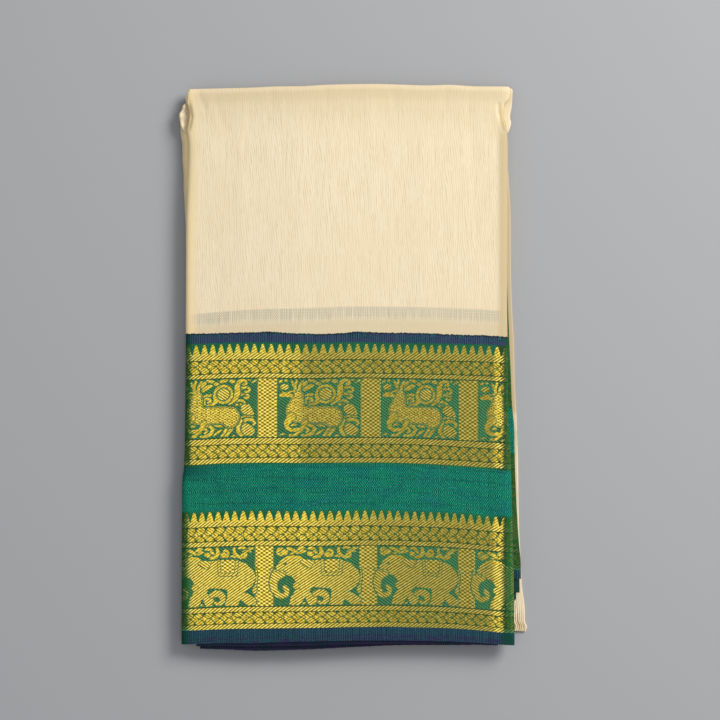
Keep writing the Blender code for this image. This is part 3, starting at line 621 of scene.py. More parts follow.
def brocade(weave):
    """The signed distances of the gold figures and of their dotted, turned and edged patches."""
    u, v = weave[..., 0], weave[..., 1]
    across = np.mod(u, COLUMN_PITCH)
    figure, dotted, turned, edged = (np.full(u.shape, FAR_OFF) for _ in range(4))
    for (low, high), animal in ((ELEPHANT_BAND, elephant), (BEAST_BAND, beast)):
        here = (v > low - 3) & (v < high + 3)
        p = (across[here], v[here] - low)
        gold, patch, ring, rim = animal(p)
        if animal is elephant:
            vine = long_vine(p)
            gold = np.minimum(gold, np.maximum(vine, 1.3 - gold))
        for drawn, distance in ((figure, gold), (dotted, patch), (turned, ring), (edged, rim)):
            drawn[here] = np.clip(distance, -FAR_OFF, FAR_OFF)
    return {"figure": figure, "dotted": dotted, "turned": turned, "edged": edged}


def lay_cloth(name, places, weave):
    """A grid of cloth, with its points at their places and its weave's measure as its UV map."""
    rows, columns = places.shape[:2]
    bpy.ops.mesh.primitive_grid_add(x_subdivisions=columns - 1, y_subdivisions=rows - 1, size=1)
    piece = bpy.context.object
    piece.name = piece.data.name = name
    piece.data.vertices.foreach_set("co", places.astype(np.float32).ravel())
    number_threads(piece, weave.reshape(-1, 2))
    return piece


def number_threads(piece, weave):
    """Writes the weave's measure of every point as the UV map, and the brocade's figures beside it."""
    mesh = piece.data
    while mesh.uv_layers:
        mesh.uv_layers.remove(mesh.uv_layers[0])
    layer = mesh.uv_layers.new(name="weave")
    corners = np.empty(len(mesh.loops), dtype=np.int32)
    mesh.loops.foreach_get("vertex_index", corners)
    layer.data.foreach_set("uv", (weave[corners] * MM).astype(np.float32).ravel())
    for name, values in brocade(weave).items():
        drawn = mesh.attributes.get(name) or mesh.attributes.new(name, "FLOAT", "POINT")
        drawn.data.foreach_set("value", values.astype(np.float32))
    mesh.shade_smooth()
    mesh.update()


RIM_ANGLE = math.radians(50)


def pick(piece):
    """Makes a piece the active one and the only one selected."""
    bpy.ops.object.select_all(action="DESELECT")
    bpy.context.view_layer.objects.active = piece
    piece.select_set(True)


def thicken(piece, thickness):
    """Gives an open sheet its thickness, inwards, and applies it."""
    wall = piece.modifiers.new("cloth", "SOLIDIFY")
    wall.thickness = thickness
    wall.offset = -1
    wall.use_even_offset = True
    wall.thickness_clamp = 0
    pick(piece)
    bpy.ops.object.modifier_apply(modifier=wall.name)
    bpy.ops.object.shade_smooth_by_angle(angle=RIM_ANGLE)
    piece.select_set(False)


def line_back(piece, places, inner, weave, every):
    """Closes a fine sheet with a coarser inner face, joined to it all round by its rim."""
    rows, columns = places.shape[:2]
    kept = [
        sorted(set(range(0, count, step)) | {count - 1}) for count, step in zip((rows, columns), every)
    ]
    cage = bmesh.new()
    cage.from_mesh(piece.data)
    cage.verts.ensure_lookup_table()
    front = cage.verts
    back = {(i, j): cage.verts.new(inner[i, j]) for i in kept[0] for j in kept[1]}
    numbers = [weave[i, j] for i in kept[0] for j in kept[1]]
    for i0, i1 in zip(kept[0], kept[0][1:]):
        for j0, j1 in zip(kept[1], kept[1][1:]):
            cage.faces.new((back[i0, j0], back[i1, j0], back[i1, j1], back[i0, j1]))
    front.ensure_lookup_table()
    for i, flip in ((0, True), (rows - 1, False)):
        for j0, j1 in zip(kept[1], kept[1][1:]):
            rim = [front[i * columns + j] for j in range(j0, j1 + 1)] + [back[i, j1], back[i, j0]]
            cage.faces.new(rim[::-1] if flip else rim)
    for j, flip in ((0, False), (columns - 1, True)):
        for i0, i1 in zip(kept[0], kept[0][1:]):
            rim = [front[i * columns + j] for i in range(i0, i1 + 1)] + [back[i1, j], back[i0, j]]
            cage.faces.new(rim[::-1] if flip else rim)
    bmesh.ops.recalc_face_normals(cage, faces=cage.faces)
    cage.to_mesh(piece.data)
    cage.free()
    number_threads(piece, np.concatenate([weave.reshape(-1, 2), np.array(numbers)]))
    pick(piece)
    bpy.ops.object.shade_smooth_by_angle(angle=RIM_ANGLE)
    piece.select_set(False)


def steps(low, high, size):
    """Even steps from low to high, about size apart."""
    return np.linspace(low, high, max(2, round((high - low) / size) + 1))


def zones(start, *stretches):
    """Steps through stretches that join, each given by its end and the size of its steps."""
    places = [start]
    for end, size in stretches:
        places.extend(steps(places[-1], end, size)[1:])
    return np.array(places)


FINE = 0.00064
PLAIN_STEP = 0.006
UNSEEN_STEP = 0.003
BRIM = 2.4
OUTER_U = (-0.2035, 0.1935)
SEEN_U = (-0.193, 0.176)
SPLIT_Y = SELVEDGE_Y + 0.166

fine_threads = zones(OUTER_U[0], (SEEN_U[0], UNSEEN_STEP), (SEEN_U[1], FINE), (OUTER_U[1], UNSEEN_STEP))
border_pieces = []
for name, (low, high), (near, far) in (
    ("outer_leaf_border_below", (SELVEDGE_Y, SPLIT_Y), ELEPHANT_BAND),
    ("outer_leaf_border_above", (SPLIT_Y, SEAM_Y), BEAST_BAND),
):
    near, far = SELVEDGE_Y + (near - BRIM) * MM, SELVEDGE_Y + (far + BRIM) * MM
    rows = [(y, 0.0) for y in zones(low, (near, PLAIN_STEP), (far, FINE), (high, PLAIN_STEP))]
    weave = weave_of(rows, fine_threads)
    places = outer_places(rows, fine_threads)
    piece = lay_cloth(name, places, weave)
    line_back(piece, places, outer_places(rows, fine_threads, SILK), weave, (10, 8))
    border_pieces.append(piece)

# The plain field is finer where it turns, at the sides and near the top fold
BODY_MIDDLE = (-0.156, 0.142)
BODY_FAR_Y = 0.244
TURN_STEP = 0.0011
MIDDLE_STEP = 0.0032

plain_threads = zones(
    OUTER_U[0], (BODY_MIDDLE[0], TURN_STEP), (BODY_MIDDLE[1], MIDDLE_STEP), (OUTER_U[1], TURN_STEP)
)
body_rows = zones(SEAM_Y, (BODY_FAR_Y, 0.0045), (TOP_FOLD_Y - LIP_ROWS[0][0], 0.0016))[:-1]
body_rows = [(y, 0.0) for y in body_rows] + [(TOP_FOLD_Y - before, depth) for before, depth in LIP_ROWS]
outer_body = lay_cloth(
    "outer_leaf_body", outer_places(body_rows, plain_threads), weave_of(body_rows, plain_threads)
)
thicken(outer_body, SILK)


# The silk itself
# One cloth all over: cream silk shot with fine stripes, joined at the korvai line to a border of green silk
# with navy edges, in which gold zari threads float over the ground as twill.


def dyed(red, green, blue):
    """A colour as seen on screen, from 0 to 255, in the linear values that a shader takes."""
    return tuple(((c / 255 + 0.055) / 1.055) ** 2.4 for c in (red, green, blue)) + (1.0,)


PURE_CREAM = dyed(232, 216, 185)
SHADOW_CREAM = dyed(208, 186, 148)
# Painted shade: the cream, darker and warmer, where it turns over the folds and on the cloth beneath.
FOLD_SHADE_CREAM = dyed(188, 169, 132)
GHOST_CREAM = dyed(184, 177, 154)
SILK_GREEN = dyed(10, 148, 110)
DEEP_GREEN = dyed(0, 54, 48)
PALE_GREEN = dyed(126, 154, 96)
LINE_DARK = dyed(34, 52, 26)
SILK_NAVY = dyed(52, 94, 108)
DEEP_NAVY = dyed(14, 26, 46)
PURPLE_SHOT = dyed(58, 10, 84)
# The gold under strong and under weak painted light; the painted lustre mixes between the two across the
# pack.
ZARI_BRIGHT = dyed(248, 215, 68)
ZARI_MIDDLE = dyed(145, 129, 54)
# Painted highlights on the tops of the gold floats, under strong and under weak painted light.
ZARI_HIGHLIGHT_BRIGHT = dyed(255, 246, 140)
ZARI_HIGHLIGHT_MIDDLE = dyed(166, 156, 92)
# Painted shade on the gold floats where they dip, under strong and under weak painted light.
ZARI_SHADE_BRIGHT = dyed(118, 92, 0)
ZARI_SHADE_MIDDLE = dyed(88, 86, 10)
# Painted shade: the green ground, dark where the border turns over the side folds.
FOLD_SHADE_GREEN = dyed(4, 56, 27)
BAND_GREEN = dyed(34, 84, 12)
BLUE_GREEN = dyed(10, 132, 120)
SPECK_GREEN = dyed(52, 144, 122)
SELVEDGE_TEAL = dyed(30, 80, 92)
PICK_GREEN = dyed(8, 84, 62)
TURN_GREEN = dyed(2, 66, 40)
# Painted shade: the navy of the selvedge layers that lie beneath the outer leaf.
NAVY_SHADED_BENEATH = dyed(6, 14, 28)
SELVEDGE_DARK = dyed(4, 12, 20)
VIOLET_SHOT = dyed(70, 40, 100)
SHADED_GREEN = dyed(4, 50, 58)
FOLD_LIT_GREEN = dyed(4, 86, 46)
# Painted shade: dark khaki where the border starts to turn over the right fold.
TURN_SHADE_KHAKI = dyed(30, 38, 12)
BRAID_GROUND = dyed(44, 72, 22)
# Painted shadow along the korvai seam.
SEAM_SHADOW_DARK = dyed(6, 26, 32)
TUFT_GREEN = dyed(4, 106, 78)
CLOUD_CREAM = dyed(222, 202, 164)
STRIP_CREAM = dyed(203, 187, 152)
# Painted light: a paler cream for the left fold.
PAINTED_LIGHT_CREAM = dyed(252, 226, 172)
# Painted shade in the hollows beside the top corners.
HOLLOW_SHADE_CREAM = dyed(198, 174, 124)

BRAIDS = (
    (22.1, 33.6, -0.5, 0.6), (110.0, 124.4, 1.6, -0.9), (197.6, 211.0, 2.9, 0.3), (287.9, 301.4, 5.1, 0.8)
)
TWILL_BANDS = (
    (16.4, 21.4), (34.5, 39.4), (104.5, 109.2), (125.3, 130.2), (191.8, 196.8), (211.9, 218.0),
    (282.8, 287.1), (302.3, 308.6),
)
DARK_LINES = (21.8, 34.0, 39.9, 104.0, 109.6, 124.9, 197.2, 211.5, 218.5, 282.3, 287.5, 301.9)
SPIRES = ((130.0, 140.8), (308.4, 318.6))
NAVY_SELVEDGE_TOP = 16.4
NAVY_TOP_FROM = 320.4
KORVAI = 331.0
GHOST_BAND = (342.6, 359.0)
SPIRE_PITCH = 8.95
BRAID_PITCH = 10.75
BRAID_HEIGHT = 14.0
STRAND_SWEEP = ((0, 1), (0.08, 0.86), (0.18, 0.62), (0.35, 0.38), (0.55, 0.2), (0.78, 0.06), (1, 0))
STRAND_GAP = (
    (0, 0.18), (0.06, 0.32), (0.12, 0.37), (0.4, 0.33), (0.6, 0.29), (0.76, 0.4), (0.88, 0.7), (1, 1)
)
TWILL_PITCH = 2.52
TWILL_ANGLE = 34.0
SOFT = 0.35
THREAD_PITCH = 2.39
PICK_PITCH = 2.97
CHECK_PITCH = 3.83
CHECKS_ACROSS = 5.48
BORDER_MIDDLE = 165.0
HOLLOW_HEIGHT = 566.0
# Painted shade in two hollows near the top corners: each a middle across, a lean, and a size across and
# along, in millimetres.
SHADED_HOLLOWS = ((-189.6, 0.02, (5.0, 16.0)), (146.2, -0.22, (3.8, 14.0)))

silk = bpy.data.materials.new("korvai silk and zari")
silk.use_nodes = True
threads_of = silk.node_tree.nodes
warp_on = silk.node_tree.links.new


class Measure:
    """A number or colour that varies over the cloth. Sums are written on it as on any number."""

    def __init__(self, socket):
        self.socket = socket

    def __add__(self, other):
        return sums("ADD", self, other)

    def __radd__(self, other):
        return self if other == 0 else self + other

    def __sub__(self, other):
        return sums("SUBTRACT", self, other)

    def __rsub__(self, other):
        return sums("SUBTRACT", other, self)

    def __mul__(self, other):
        return sums("MULTIPLY", self, other)

    __rmul__ = __mul__

    def __pow__(self, power):
        return sums("POWER", self, power)

    def __abs__(self):
        return sums("ABSOLUTE", self)


def feed(socket, value):
    """Sets a socket to a number or a colour, or joins it to a measure."""
    if isinstance(value, Measure):
        warp_on(value.socket, socket)
    else:
        socket.default_value = value


def sums(operation, *values, clamp=False):
    """One sum on measures and numbers."""
    node = threads_of.new("ShaderNodeMath")
    node.operation = operation
    node.use_clamp = clamp
    for socket, value in zip(node.inputs, values):
        feed(socket, value)
    return Measure(node.outputs[0])


def clamped(value):
    """Keeps the sum just made between 0 and 1."""
    value.socket.node.use_clamp = True
    return value


def most(*values):
    """The greatest of several measures."""
    return functools.reduce(lambda a, b: sums("MAXIMUM", a, b), values)


def least(*values):
    """The least of several measures."""
    return functools.reduce(lambda a, b: sums("MINIMUM", a, b), values)


def above(value, at, soft=SOFT):
    """1 where value is above at, 0 below, with a soft edge."""
    return sums("MULTIPLY_ADD", value, 1 / soft, 0.5 - at / soft, clamp=True)


def below(value, at, soft=SOFT):
    """1 where value is below at, 0 above, with a soft edge."""
    return sums("MULTIPLY_ADD", value, -1 / soft, 0.5 + at / soft, clamp=True)


def between(value, low, high, soft=SOFT):
    """1 where value lies between low and high."""
    return least(above(value, low, soft), below(value, high, soft))


def line_at(value, half, soft=0.3):
    """1 on a line where value is 0, out to half its width."""
    return below(abs(value), half, soft)


def wave(value, pitch):
    """A sine over a length, from -1 to 1."""
    return sums("SINE", value * (2 * math.pi / pitch))


def off_nearest(value, pitch):
    """How far value is from the nearest of the marks that stand a pitch apart, one of them at 0."""
    return sums("PINGPONG", value, pitch / 2)


def mixed(share, first, second, kind="RGBA"):
    """Two colours mixed by a share of the second."""
    node = threads_of.new("ShaderNodeMix")
    node.data_type = kind
    sockets = {"RGBA": (0, 6, 7, 2), "FLOAT": (0, 2, 3, 0)}[kind]
    for socket, value in zip(sockets, (share, first, second)):
        feed(node.inputs[socket], value)
    return Measure(node.outputs[sockets[3]])


def mixed_number(share, first, second):
    """Two numbers mixed by a share of the second."""
    return mixed(share, first, second, "FLOAT")


def grain(across, along, detail=2.0, seed=0.0):
    """Noise drawn out along the threads: its size across and along, in millimetres, from 0 to 1."""
    place = threads_of.new("ShaderNodeCombineXYZ")
    for socket, value in zip(place.inputs, (u_mm * (1 / across), v_mm * (1 / along), seed)):
        feed(socket, value)
    noise = threads_of.new("ShaderNodeTexNoise")
    noise.inputs["Scale"].default_value = 1.0
    noise.inputs["Detail"].default_value = detail
    warp_on(place.outputs[0], noise.inputs["Vector"])
    return Measure(noise.outputs["Fac"])


def drawn_on(name):
    """One of the figures' signed distances."""
    node = threads_of.new("ShaderNodeAttribute")
    node.attribute_name = name
    return Measure(node.outputs["Fac"])


def along_table(value, low, high, points):
    """A curve over value from low to high, whose points are given as (place, height from 0 to 1)."""
    span = high - low
    node = threads_of.new("ShaderNodeFloatCurve")
    curve = node.mapping.curves[0]
    for k, (place, height) in enumerate(points):
        if k < 2:
            curve.points[k].location = ((place - low) / span, height)
        else:
            curve.points.new((place - low) / span, height)
    node.mapping.update()
    feed(node.inputs["Value"], sums("MULTIPLY_ADD", value, 1 / span, -low / span, clamp=True))
    return Measure(node.outputs[0])


weave_map = threads_of.new("ShaderNodeUVMap")
weave_map.uv_map = "weave"
split = threads_of.new("ShaderNodeSeparateXYZ")
warp_on(weave_map.outputs[0], split.inputs[0])
u_mm = Measure(split.outputs[0]) * 1000.0
v_mm = Measure(split.outputs[1]) * 1000.0

# Gold: twill bands, braids, temple spires, columns and figures
bands = sum(between(v_mm, *band) for band in TWILL_BANDS)
in_braid = braid_height = braid_ahead = braid_turn = 0
for low, high, ahead, vertex in BRAIDS:
    inside = between(v_mm, low, high, 0.2)
    in_braid += inside
    braid_height += inside * ((v_mm - (low + high) / 2) * (BRAID_HEIGHT / (high - low)))
    braid_ahead += inside * ahead
    braid_turn += inside * vertex
from_turn = abs(braid_height - braid_turn)
braid_out = abs(braid_height) * (2 / BRAID_HEIGHT)
sweep = along_table(from_turn * (2 / BRAID_HEIGHT), 0.0, 1.0, STRAND_SWEEP)
along_braid = u_mm - braid_ahead
gap_off = off_nearest(sweep * (0.58 * BRAID_PITCH) + along_braid, BRAID_PITCH)
gap_off -= along_table(braid_out, 0.0, 1.0, STRAND_GAP) * 2.7
gap_depth = above(braid_out, 0.78, 0.2) * 0.08 + 0.92
lens_off = off_nearest(along_braid - 0.45 * BRAID_PITCH, BRAID_PITCH)
lens_off = (lens_off * 0.4) ** 2.0 + from_turn**2.0
lens = below(lens_off, 0.9, 0.8) * 0.88
crossing = off_nearest(along_braid - sweep * (0.3 * BRAID_PITCH), BRAID_PITCH)
crossing = below(crossing, 0.55, 0.5) * above(braid_out, 0.08, 0.1) * 0.6
braid_gold = (1.0 - most(below(gap_off, 0.0, 0.5) * gap_depth, crossing, lens)) * in_braid

in_spires = spire_rise = 0
for low, tip in SPIRES:
    inside = between(v_mm, low, tip, 0.2)
    in_spires += inside
    spire_rise += inside * ((v_mm - low) * (1 / (tip - low)))
SPIRE_PROFILE = (
    (0, 1), (0.08, 1), (0.11, 0.84), (0.28, 0.75), (0.45, 0.64), (0.6, 0.54), (0.8, 0.38), (0.93, 0.25),
    (1, 0.08),
)
upper_part = above(v_mm, BORDER_MIDDLE, 1.0)
spire_half = along_table(spire_rise, 0.0, 1.0, SPIRE_PROFILE) * mixed_number(upper_part, 4.5, 4.1)
spire_off = off_nearest(u_mm + mixed_number(upper_part, 4.7, 3.1), SPIRE_PITCH)
spire_gold = below(spire_off - spire_half, 0.0, 0.45) * in_spires

figure, dotted, turned, edged = (drawn_on(name) for name in ("figure", "dotted", "turned", "edged"))
in_animals = most(between(v_mm, *ELEPHANT_BAND, 0.25), between(v_mm, *BEAST_BAND, 0.25))
column_off = off_nearest(u_mm + mixed_number(upper_part, 0.8, -1.6), COLUMN_PITCH)
column_edge = wave(v_mm, CHECK_PITCH) * 0.6 + mixed_number(upper_part, 9.2, 10.3)
column = below(column_off - column_edge, 0.0, 0.4) * in_animals * above(figure, 1.0, 0.5)
figure_gold = below(figure + mixed_number(upper_part, -0.1, 0.22), 0.0, 0.5) * in_animals
saddle_line = line_at(dotted + 0.2, 0.42)
ear_line = line_at(turned, 0.42)
rim_line = line_at(edged, 0.4) * below(v_mm, BORDER_MIDDLE, 1.0)
seams = most(saddle_line, ear_line, rim_line) * figure_gold
gold = most(bands, braid_gold, spire_gold, column, figure_gold)
gold *= 1.0 - seams * 0.85

# How the gold threads float: twill lines, turned the other way in the ears, and dots in the columns
sideways = u_mm * math.sin(math.radians(TWILL_ANGLE))
upwards = v_mm * math.cos(math.radians(TWILL_ANGLE))
rising, falling = upwards - sideways, upwards + sideways
in_ear = below(turned, -0.4, 0.3) * figure_gold
crossed = most(in_ear, in_braid * above(braid_height - braid_turn, 0.0, 0.1))
twill = mixed_number(crossed, wave(rising, TWILL_PITCH), wave(falling, TWILL_PITCH))
checks = wave(u_mm, CHECKS_ACROSS) * wave(v_mm, CHECK_PITCH)
in_dots = most(column, below(dotted, -0.6, 0.3) * figure_gold)
in_beasts = between(v_mm, *BEAST_BAND, 0.25) * (1.0 - column)
in_scales = below(dotted, 0.0, 0.4) * in_beasts
scale_at = wave(u_mm, 9.4) * wave(v_mm, 7.4)
scale_ring = clamped(1.0 - abs(scale_at - 0.62) * 5.0)
scale_gap = above(scale_at, 0.8, 0.16)
scales = scale_ring * 1.3 + scale_gap * -1.6
scales += wave(u_mm, 5.0) * wave(v_mm, 2.9) * 0.9
smooth_strokes = in_beasts * above(edged, -0.4, 0.4) * above(turned, -0.4, 0.4)
smooth_strokes = most(smooth_strokes, between(v_mm, 90.6, ELEPHANT_BAND[1], 0.3) * figure_gold)
uneven = grain(3.0, 3.0, seed=7.0) * 2.2 - 1.1
float_height = mixed_number(in_dots, twill, checks * 1.5)
float_height = mixed_number(smooth_strokes * 0.62, float_height, 0.1)
float_height = mixed_number(in_scales, float_height, scales)
float_height = mixed_number(in_spires * 0.5, float_height, 0.2)
float_height *= 1.0 - in_braid * 0.42
# Painted light and shade on each gold float: lit where it stands high, shaded where it dips.
lit = clamped((float_height + uneven) * 0.8 + 0.62)
streaks = grain(0.9, 40.0)
slubs = grain(14.0, 5.0, seed=3.0)

# The light on the zari changes across the pack, where the layers underneath lift and drop it. That light is
# painted into the gold's colour: a painted lustre, strong at the left and weak across the middle and right,
# with a painted highlight where the right fold starts to turn.
PAINTED_LUSTRE_ABOVE = (
    (-230, 0), (-200, 0.1), (-194, 0.3), (-188, 0.66), (-178, 0.84), (-120, 0.84), (-73, 0.74),
    (-70, 0.3), (-40, 0.26), (60, 0.2), (134, 0.18), (138, 0.75), (143, 0.85), (146, 0.3), (149, 0),
    (190, 0),
)
PAINTED_LUSTRE_BELOW = (
    (-230, 0), (-200, 0.1), (-194, 0.35), (-188, 0.75), (-178, 1), (-120, 1), (-76, 0.92), (-50, 0.72),
    (-10, 0.44), (30, 0.26), (128, 0.2), (134, 0.3), (138, 0.9), (143, 0.98), (146, 0.4), (149, 0),
    (190, 0),
)
# Painted shade over the side folds: how much of the gold's painted light is left, 1 on the flat top and
# falling away as the cloth turns over the folds, with a little past the right one.
FOLD_GOLD_LIGHT = (
    (-230, 0.06), (-197, 0.08), (-194.5, 0.1), (-192.5, 0.26), (-190.8, 0.52), (-188.7, 0.76),
    (-186, 0.95), (-180, 1), (138.5, 1), (141.5, 0.86), (145, 0.6), (147.4, 0.34), (150, 0.08),
    (153, 0.05), (155, 0.2), (157, 0.3), (160, 0.18), (168, 0.08), (190, 0.08),
)
ACROSS = (-230.0, 190.0)
wander = u_mm + grain(30.0, 14.0, seed=11.0) * 10.0 - 5.0
painted_lustre = mixed_number(
    upper_part, along_table(wander, *ACROSS, PAINTED_LUSTRE_BELOW), along_table(u_mm, *ACROSS, PAINTED_LUSTRE_ABOVE)
)
painted_lustre += slubs * 0.24 - 0.12
painted_lustre = clamped(painted_lustre - in_braid * 0.04)
turned_in = (upper_part * -2.4 - 1.1) * below(u_mm, -100.0, 1.0)
fold_gold_light = along_table(turned_in + u_mm, *ACROSS, FOLD_GOLD_LIGHT)
on_fold = 1.0 - least(fold_gold_light * 1.25, 1.0)
flecks = clamped((float_height + uneven) * 0.9)
flecks *= clamped(grain(2.4, 5.0, seed=39.0) * 3.0 - 1.0)
covering = clamped(fold_gold_light * 1.9 + lit * 0.95 - 0.95)
covering *= lit * 0.2 + 0.88
near_edge = between(u_mm, -220.0, 153.0, 3.0) * 0.6 + 0.4
covering = most(covering, on_fold * flecks * near_edge)
cover = clamped(gold * covering)
# The gold's colour is painted light: from painted shade to glint by how each float is lit, then painted
# highlights on its peaks.
glint = mixed(painted_lustre, ZARI_MIDDLE, ZARI_BRIGHT)
shade = mixed(painted_lustre, ZARI_SHADE_MIDDLE, ZARI_SHADE_BRIGHT)
gold_colour = mixed(lit, shade, glint)
highlight = mixed(painted_lustre, ZARI_HIGHLIGHT_MIDDLE, ZARI_HIGHLIGHT_BRIGHT)
highlight_peaks = clamped((float_height + uneven) * 1.1 - 0.3)
gold_colour = mixed(highlight_peaks, gold_colour, highlight)

# The ground: navy at the selvedge, green, navy again, then cream above the wavy korvai line
picks = wave(v_mm, 3.85) * 0.55 + wave(v_mm, PICK_PITCH) * 0.45
weft = wave(u_mm, THREAD_PITCH) * (picks * 1.5 + 0.24)
weft *= grain(16.0, 16.0, seed=27.0) * 4.0 - 0.9
blue_cast = clamped(grain(26.0, 12.0, seed=13.0) * 3.2 - 1.15)
blue_cast *= above(u_mm, -168.0, 40.0)
green_silk = mixed(blue_cast, SILK_GREEN, BLUE_GREEN)
cross_threads = grain(40.0, 1.1, detail=1.0, seed=29.0)
green_threads = weft * 1.35 + streaks * 0.8 - 0.05
green_threads = clamped(green_threads + cross_threads * 0.7 - 0.35)
green_streak = mixed(green_threads, DEEP_GREEN, green_silk)
specks = above(grain(1.6, 1.9, seed=17.0), 0.6, 0.12) * between(v_mm, 140.0, 192.0, 4.0)
green_streak = mixed(specks * 0.6, green_streak, SPECK_GREEN)
navy_rib = clamped(wave(u_mm, THREAD_PITCH) * (wave(v_mm, 3.4) * 0.25 + 0.4) + streaks * 2.0 - 0.5)
navy = mixed(navy_rib, DEEP_NAVY, SILK_NAVY)
purple = below(v_mm, 7.5, 3.0) * above(grain(16.0, 1.6, seed=5.0), 0.52, 0.14)
navy = mixed(purple * 0.6, navy, PURPLE_SHOT)
teal_end = between(v_mm, 9.5, NAVY_SELVEDGE_TOP, 3.0) * 0.3
navy = mixed(teal_end, navy, SELVEDGE_TEAL)
mottle = clamped(grain(2.6, 1.3, seed=35.0) * 2.8 - 1.15)
navy = mixed(mottle * 0.7, navy, DEEP_NAVY)
green_picks = above(grain(6.0, 1.0, seed=37.0), 0.6, 0.12) * below(v_mm, 9.0, 3.0)
navy = mixed(green_picks * below(u_mm, -40.0, 90.0), navy, PICK_GREEN)
near_turn = on_fold * below(abs(u_mm + 20.0), 181.0, 3.0)
navy = mixed(near_turn * 0.85, navy, TURN_GREEN)
# Painted shade: the selvedge layers beneath the outer leaf's edge are darker.
shade_beneath = below(v_mm, -20.0, 6.0)
navy = mixed(shade_beneath * 0.8, navy, mixed(purple * 0.35, NAVY_SHADED_BENEATH, PURPLE_SHOT))
navy = mixed(below(v_mm, NAVY_SELVEDGE_TOP, 1.0) * 0.16, navy, SELVEDGE_DARK)
shot = above(v_mm, NAVY_TOP_FROM, 2.0) * above(grain(34.0, 4.0, seed=15.0), 0.46, 0.14)
navy = mixed(shot * 0.24, navy, VIOLET_SHOT)
in_navy = most(below(v_mm, NAVY_SELVEDGE_TOP, 0.5), above(v_mm, NAVY_TOP_FROM, 1.2))
in_bands = above(v_mm, 18.0, 2.0) * (1.0 - between(v_mm, 142.0, 190.0, 3.0))
shaded = below(u_mm, -170.0, 36.0) * between(v_mm, 178.0, 196.0, 9.0)
green_streak = mixed(shaded * 0.62, green_streak, SHADED_GREEN)
# Painted shade on the folds: the green ground dark there, and lighter further round the right fold, where
# it is lit.
fold_shade_green = mixed(between(u_mm, 150.8, 158.0, 1.5), FOLD_SHADE_GREEN, FOLD_LIT_GREEN)
green_streak = mixed(on_fold * in_bands * 0.9, green_streak, fold_shade_green)
green_streak = mixed(in_bands * 0.5, green_streak, BAND_GREEN)
# Painted shade where the border starts to turn over the right fold.
turn_shade = between(u_mm, 140.5, 149.5, 2.5) * in_bands * 0.6
green_streak = mixed(turn_shade, green_streak, TURN_SHADE_KHAKI)
ground = mixed(in_navy, green_streak, navy)
ground = mixed(in_braid * 0.35, ground, BRAID_GROUND)
stitches = above(wave(falling, 2.6), 0.45, 0.5) * (uneven * 0.5 + 0.8)
stitches = clamped(stitches * in_animals * (0.6 - on_fold * 0.6))
ground = mixed(stitches, ground, PALE_GREEN)
line_share = sum(line_at(v_mm - at, 0.42) for at in DARK_LINES)
ground = mixed(line_share * 0.85, ground, LINE_DARK)

KORVAI_CURVE = (
    (-220, 0.8), (-178, 0.66), (-150, 0.56), (-118, 0.6), (-106, 0.72), (-96, 0.66), (-58, 0.44),
    (-30, 0.4), (-12, 0.7), (8, 0.62), (60, 0.6), (92, 0.44), (160, 0.4), (180, 0.3),
)
korvai_line = along_table(u_mm, -220.0, 180.0, KORVAI_CURVE)
fray = grain(1.7, 60.0, seed=9.0) * 2.6 - 1.3
past_korvai = v_mm - (korvai_line * 6.0 + (KORVAI - 3.3) + fray)
in_cream = above(past_korvai, 0.0, 0.5)
# A painted shadow line, dark and broken, along the top of the navy at the korvai seam.
seam_shadow = clamped(grain(2.6, 60.0, seed=31.0) * 3.0 - 0.55)
seam_shadow *= between(past_korvai, -1.7, 1.0, 0.7)
tufts = above(grain(2.4, 60.0, seed=33.0), 0.66, 0.06) * between(past_korvai, -3.6, -0.3, 0.8)

cream_streak = grain(1.5, 42.0, detail=3.0, seed=2.0)
fine_streak = grain(1.1, 9.0, detail=1.0, seed=21.0)
cloud = grain(60.0, 90.0, seed=4.0)
leaning = u_mm + v_mm * 0.1 + grain(16.0, 60.0, seed=23.0) * 7.0
stripe = wave(leaning, 2.46) * (grain(9.0, 26.0, seed=25.0) * 1.5 - 0.25)
cream_lines = cream_streak * 2.1 - 0.78 + stripe * 0.7
cream_lines += fine_streak * 1.2 - 0.6
tucks = wave(u_mm, THREAD_PITCH) * wave(v_mm, PICK_PITCH) * below(v_mm, 372.0, 30.0)
cream_lines += tucks * 0.8
cream = mixed(clamped(cream_lines * 0.8), PURE_CREAM, SHADOW_CREAM)
cream = mixed(clamped(cloud * 0.9 - 0.36), cream, CLOUD_CREAM)
ghost_rise = u_mm * 0.0052 - 0.156
ghost_rise = ghost_rise * ghost_rise * 5.0 + v_mm
blurred = grain(2.6, 30.0, seed=41.0) * 5.0 + ghost_rise - 2.5
ghost = least(above(blurred, GHOST_BAND[0] + 3.0, 8.0), below(ghost_rise, GHOST_BAND[1], 1.6))
ribbed = wave(u_mm, THREAD_PITCH) * (wave(v_mm, PICK_PITCH) * 0.4 + 0.26)
ghost = clamped(ghost * (streaks * 2.9 - 0.78 + ribbed))
cream = mixed(ghost, cream, GHOST_CREAM)
under_ghost = below(ghost_rise, GHOST_BAND[0] + 2.0, 6.0) * 0.7
cream = mixed(under_ghost, cream, STRIP_CREAM)
# Painted shade along the top fold: the cream darker and warmer as it slopes down to the fold, and on the
# cloth under it.
TOP_FOLD_SHADE = (
    (540, 0), (552, 0.05), (563, 0.14), (571, 0.26), (578, 0.42), (584, 0.58), (588, 0.6), (592, 0.4),
    (604, 0.32), (612, 0.85), (640, 0.85),
)
cream = mixed(along_table(v_mm, 540.0, 640.0, TOP_FOLD_SHADE), cream, FOLD_SHADE_CREAM)
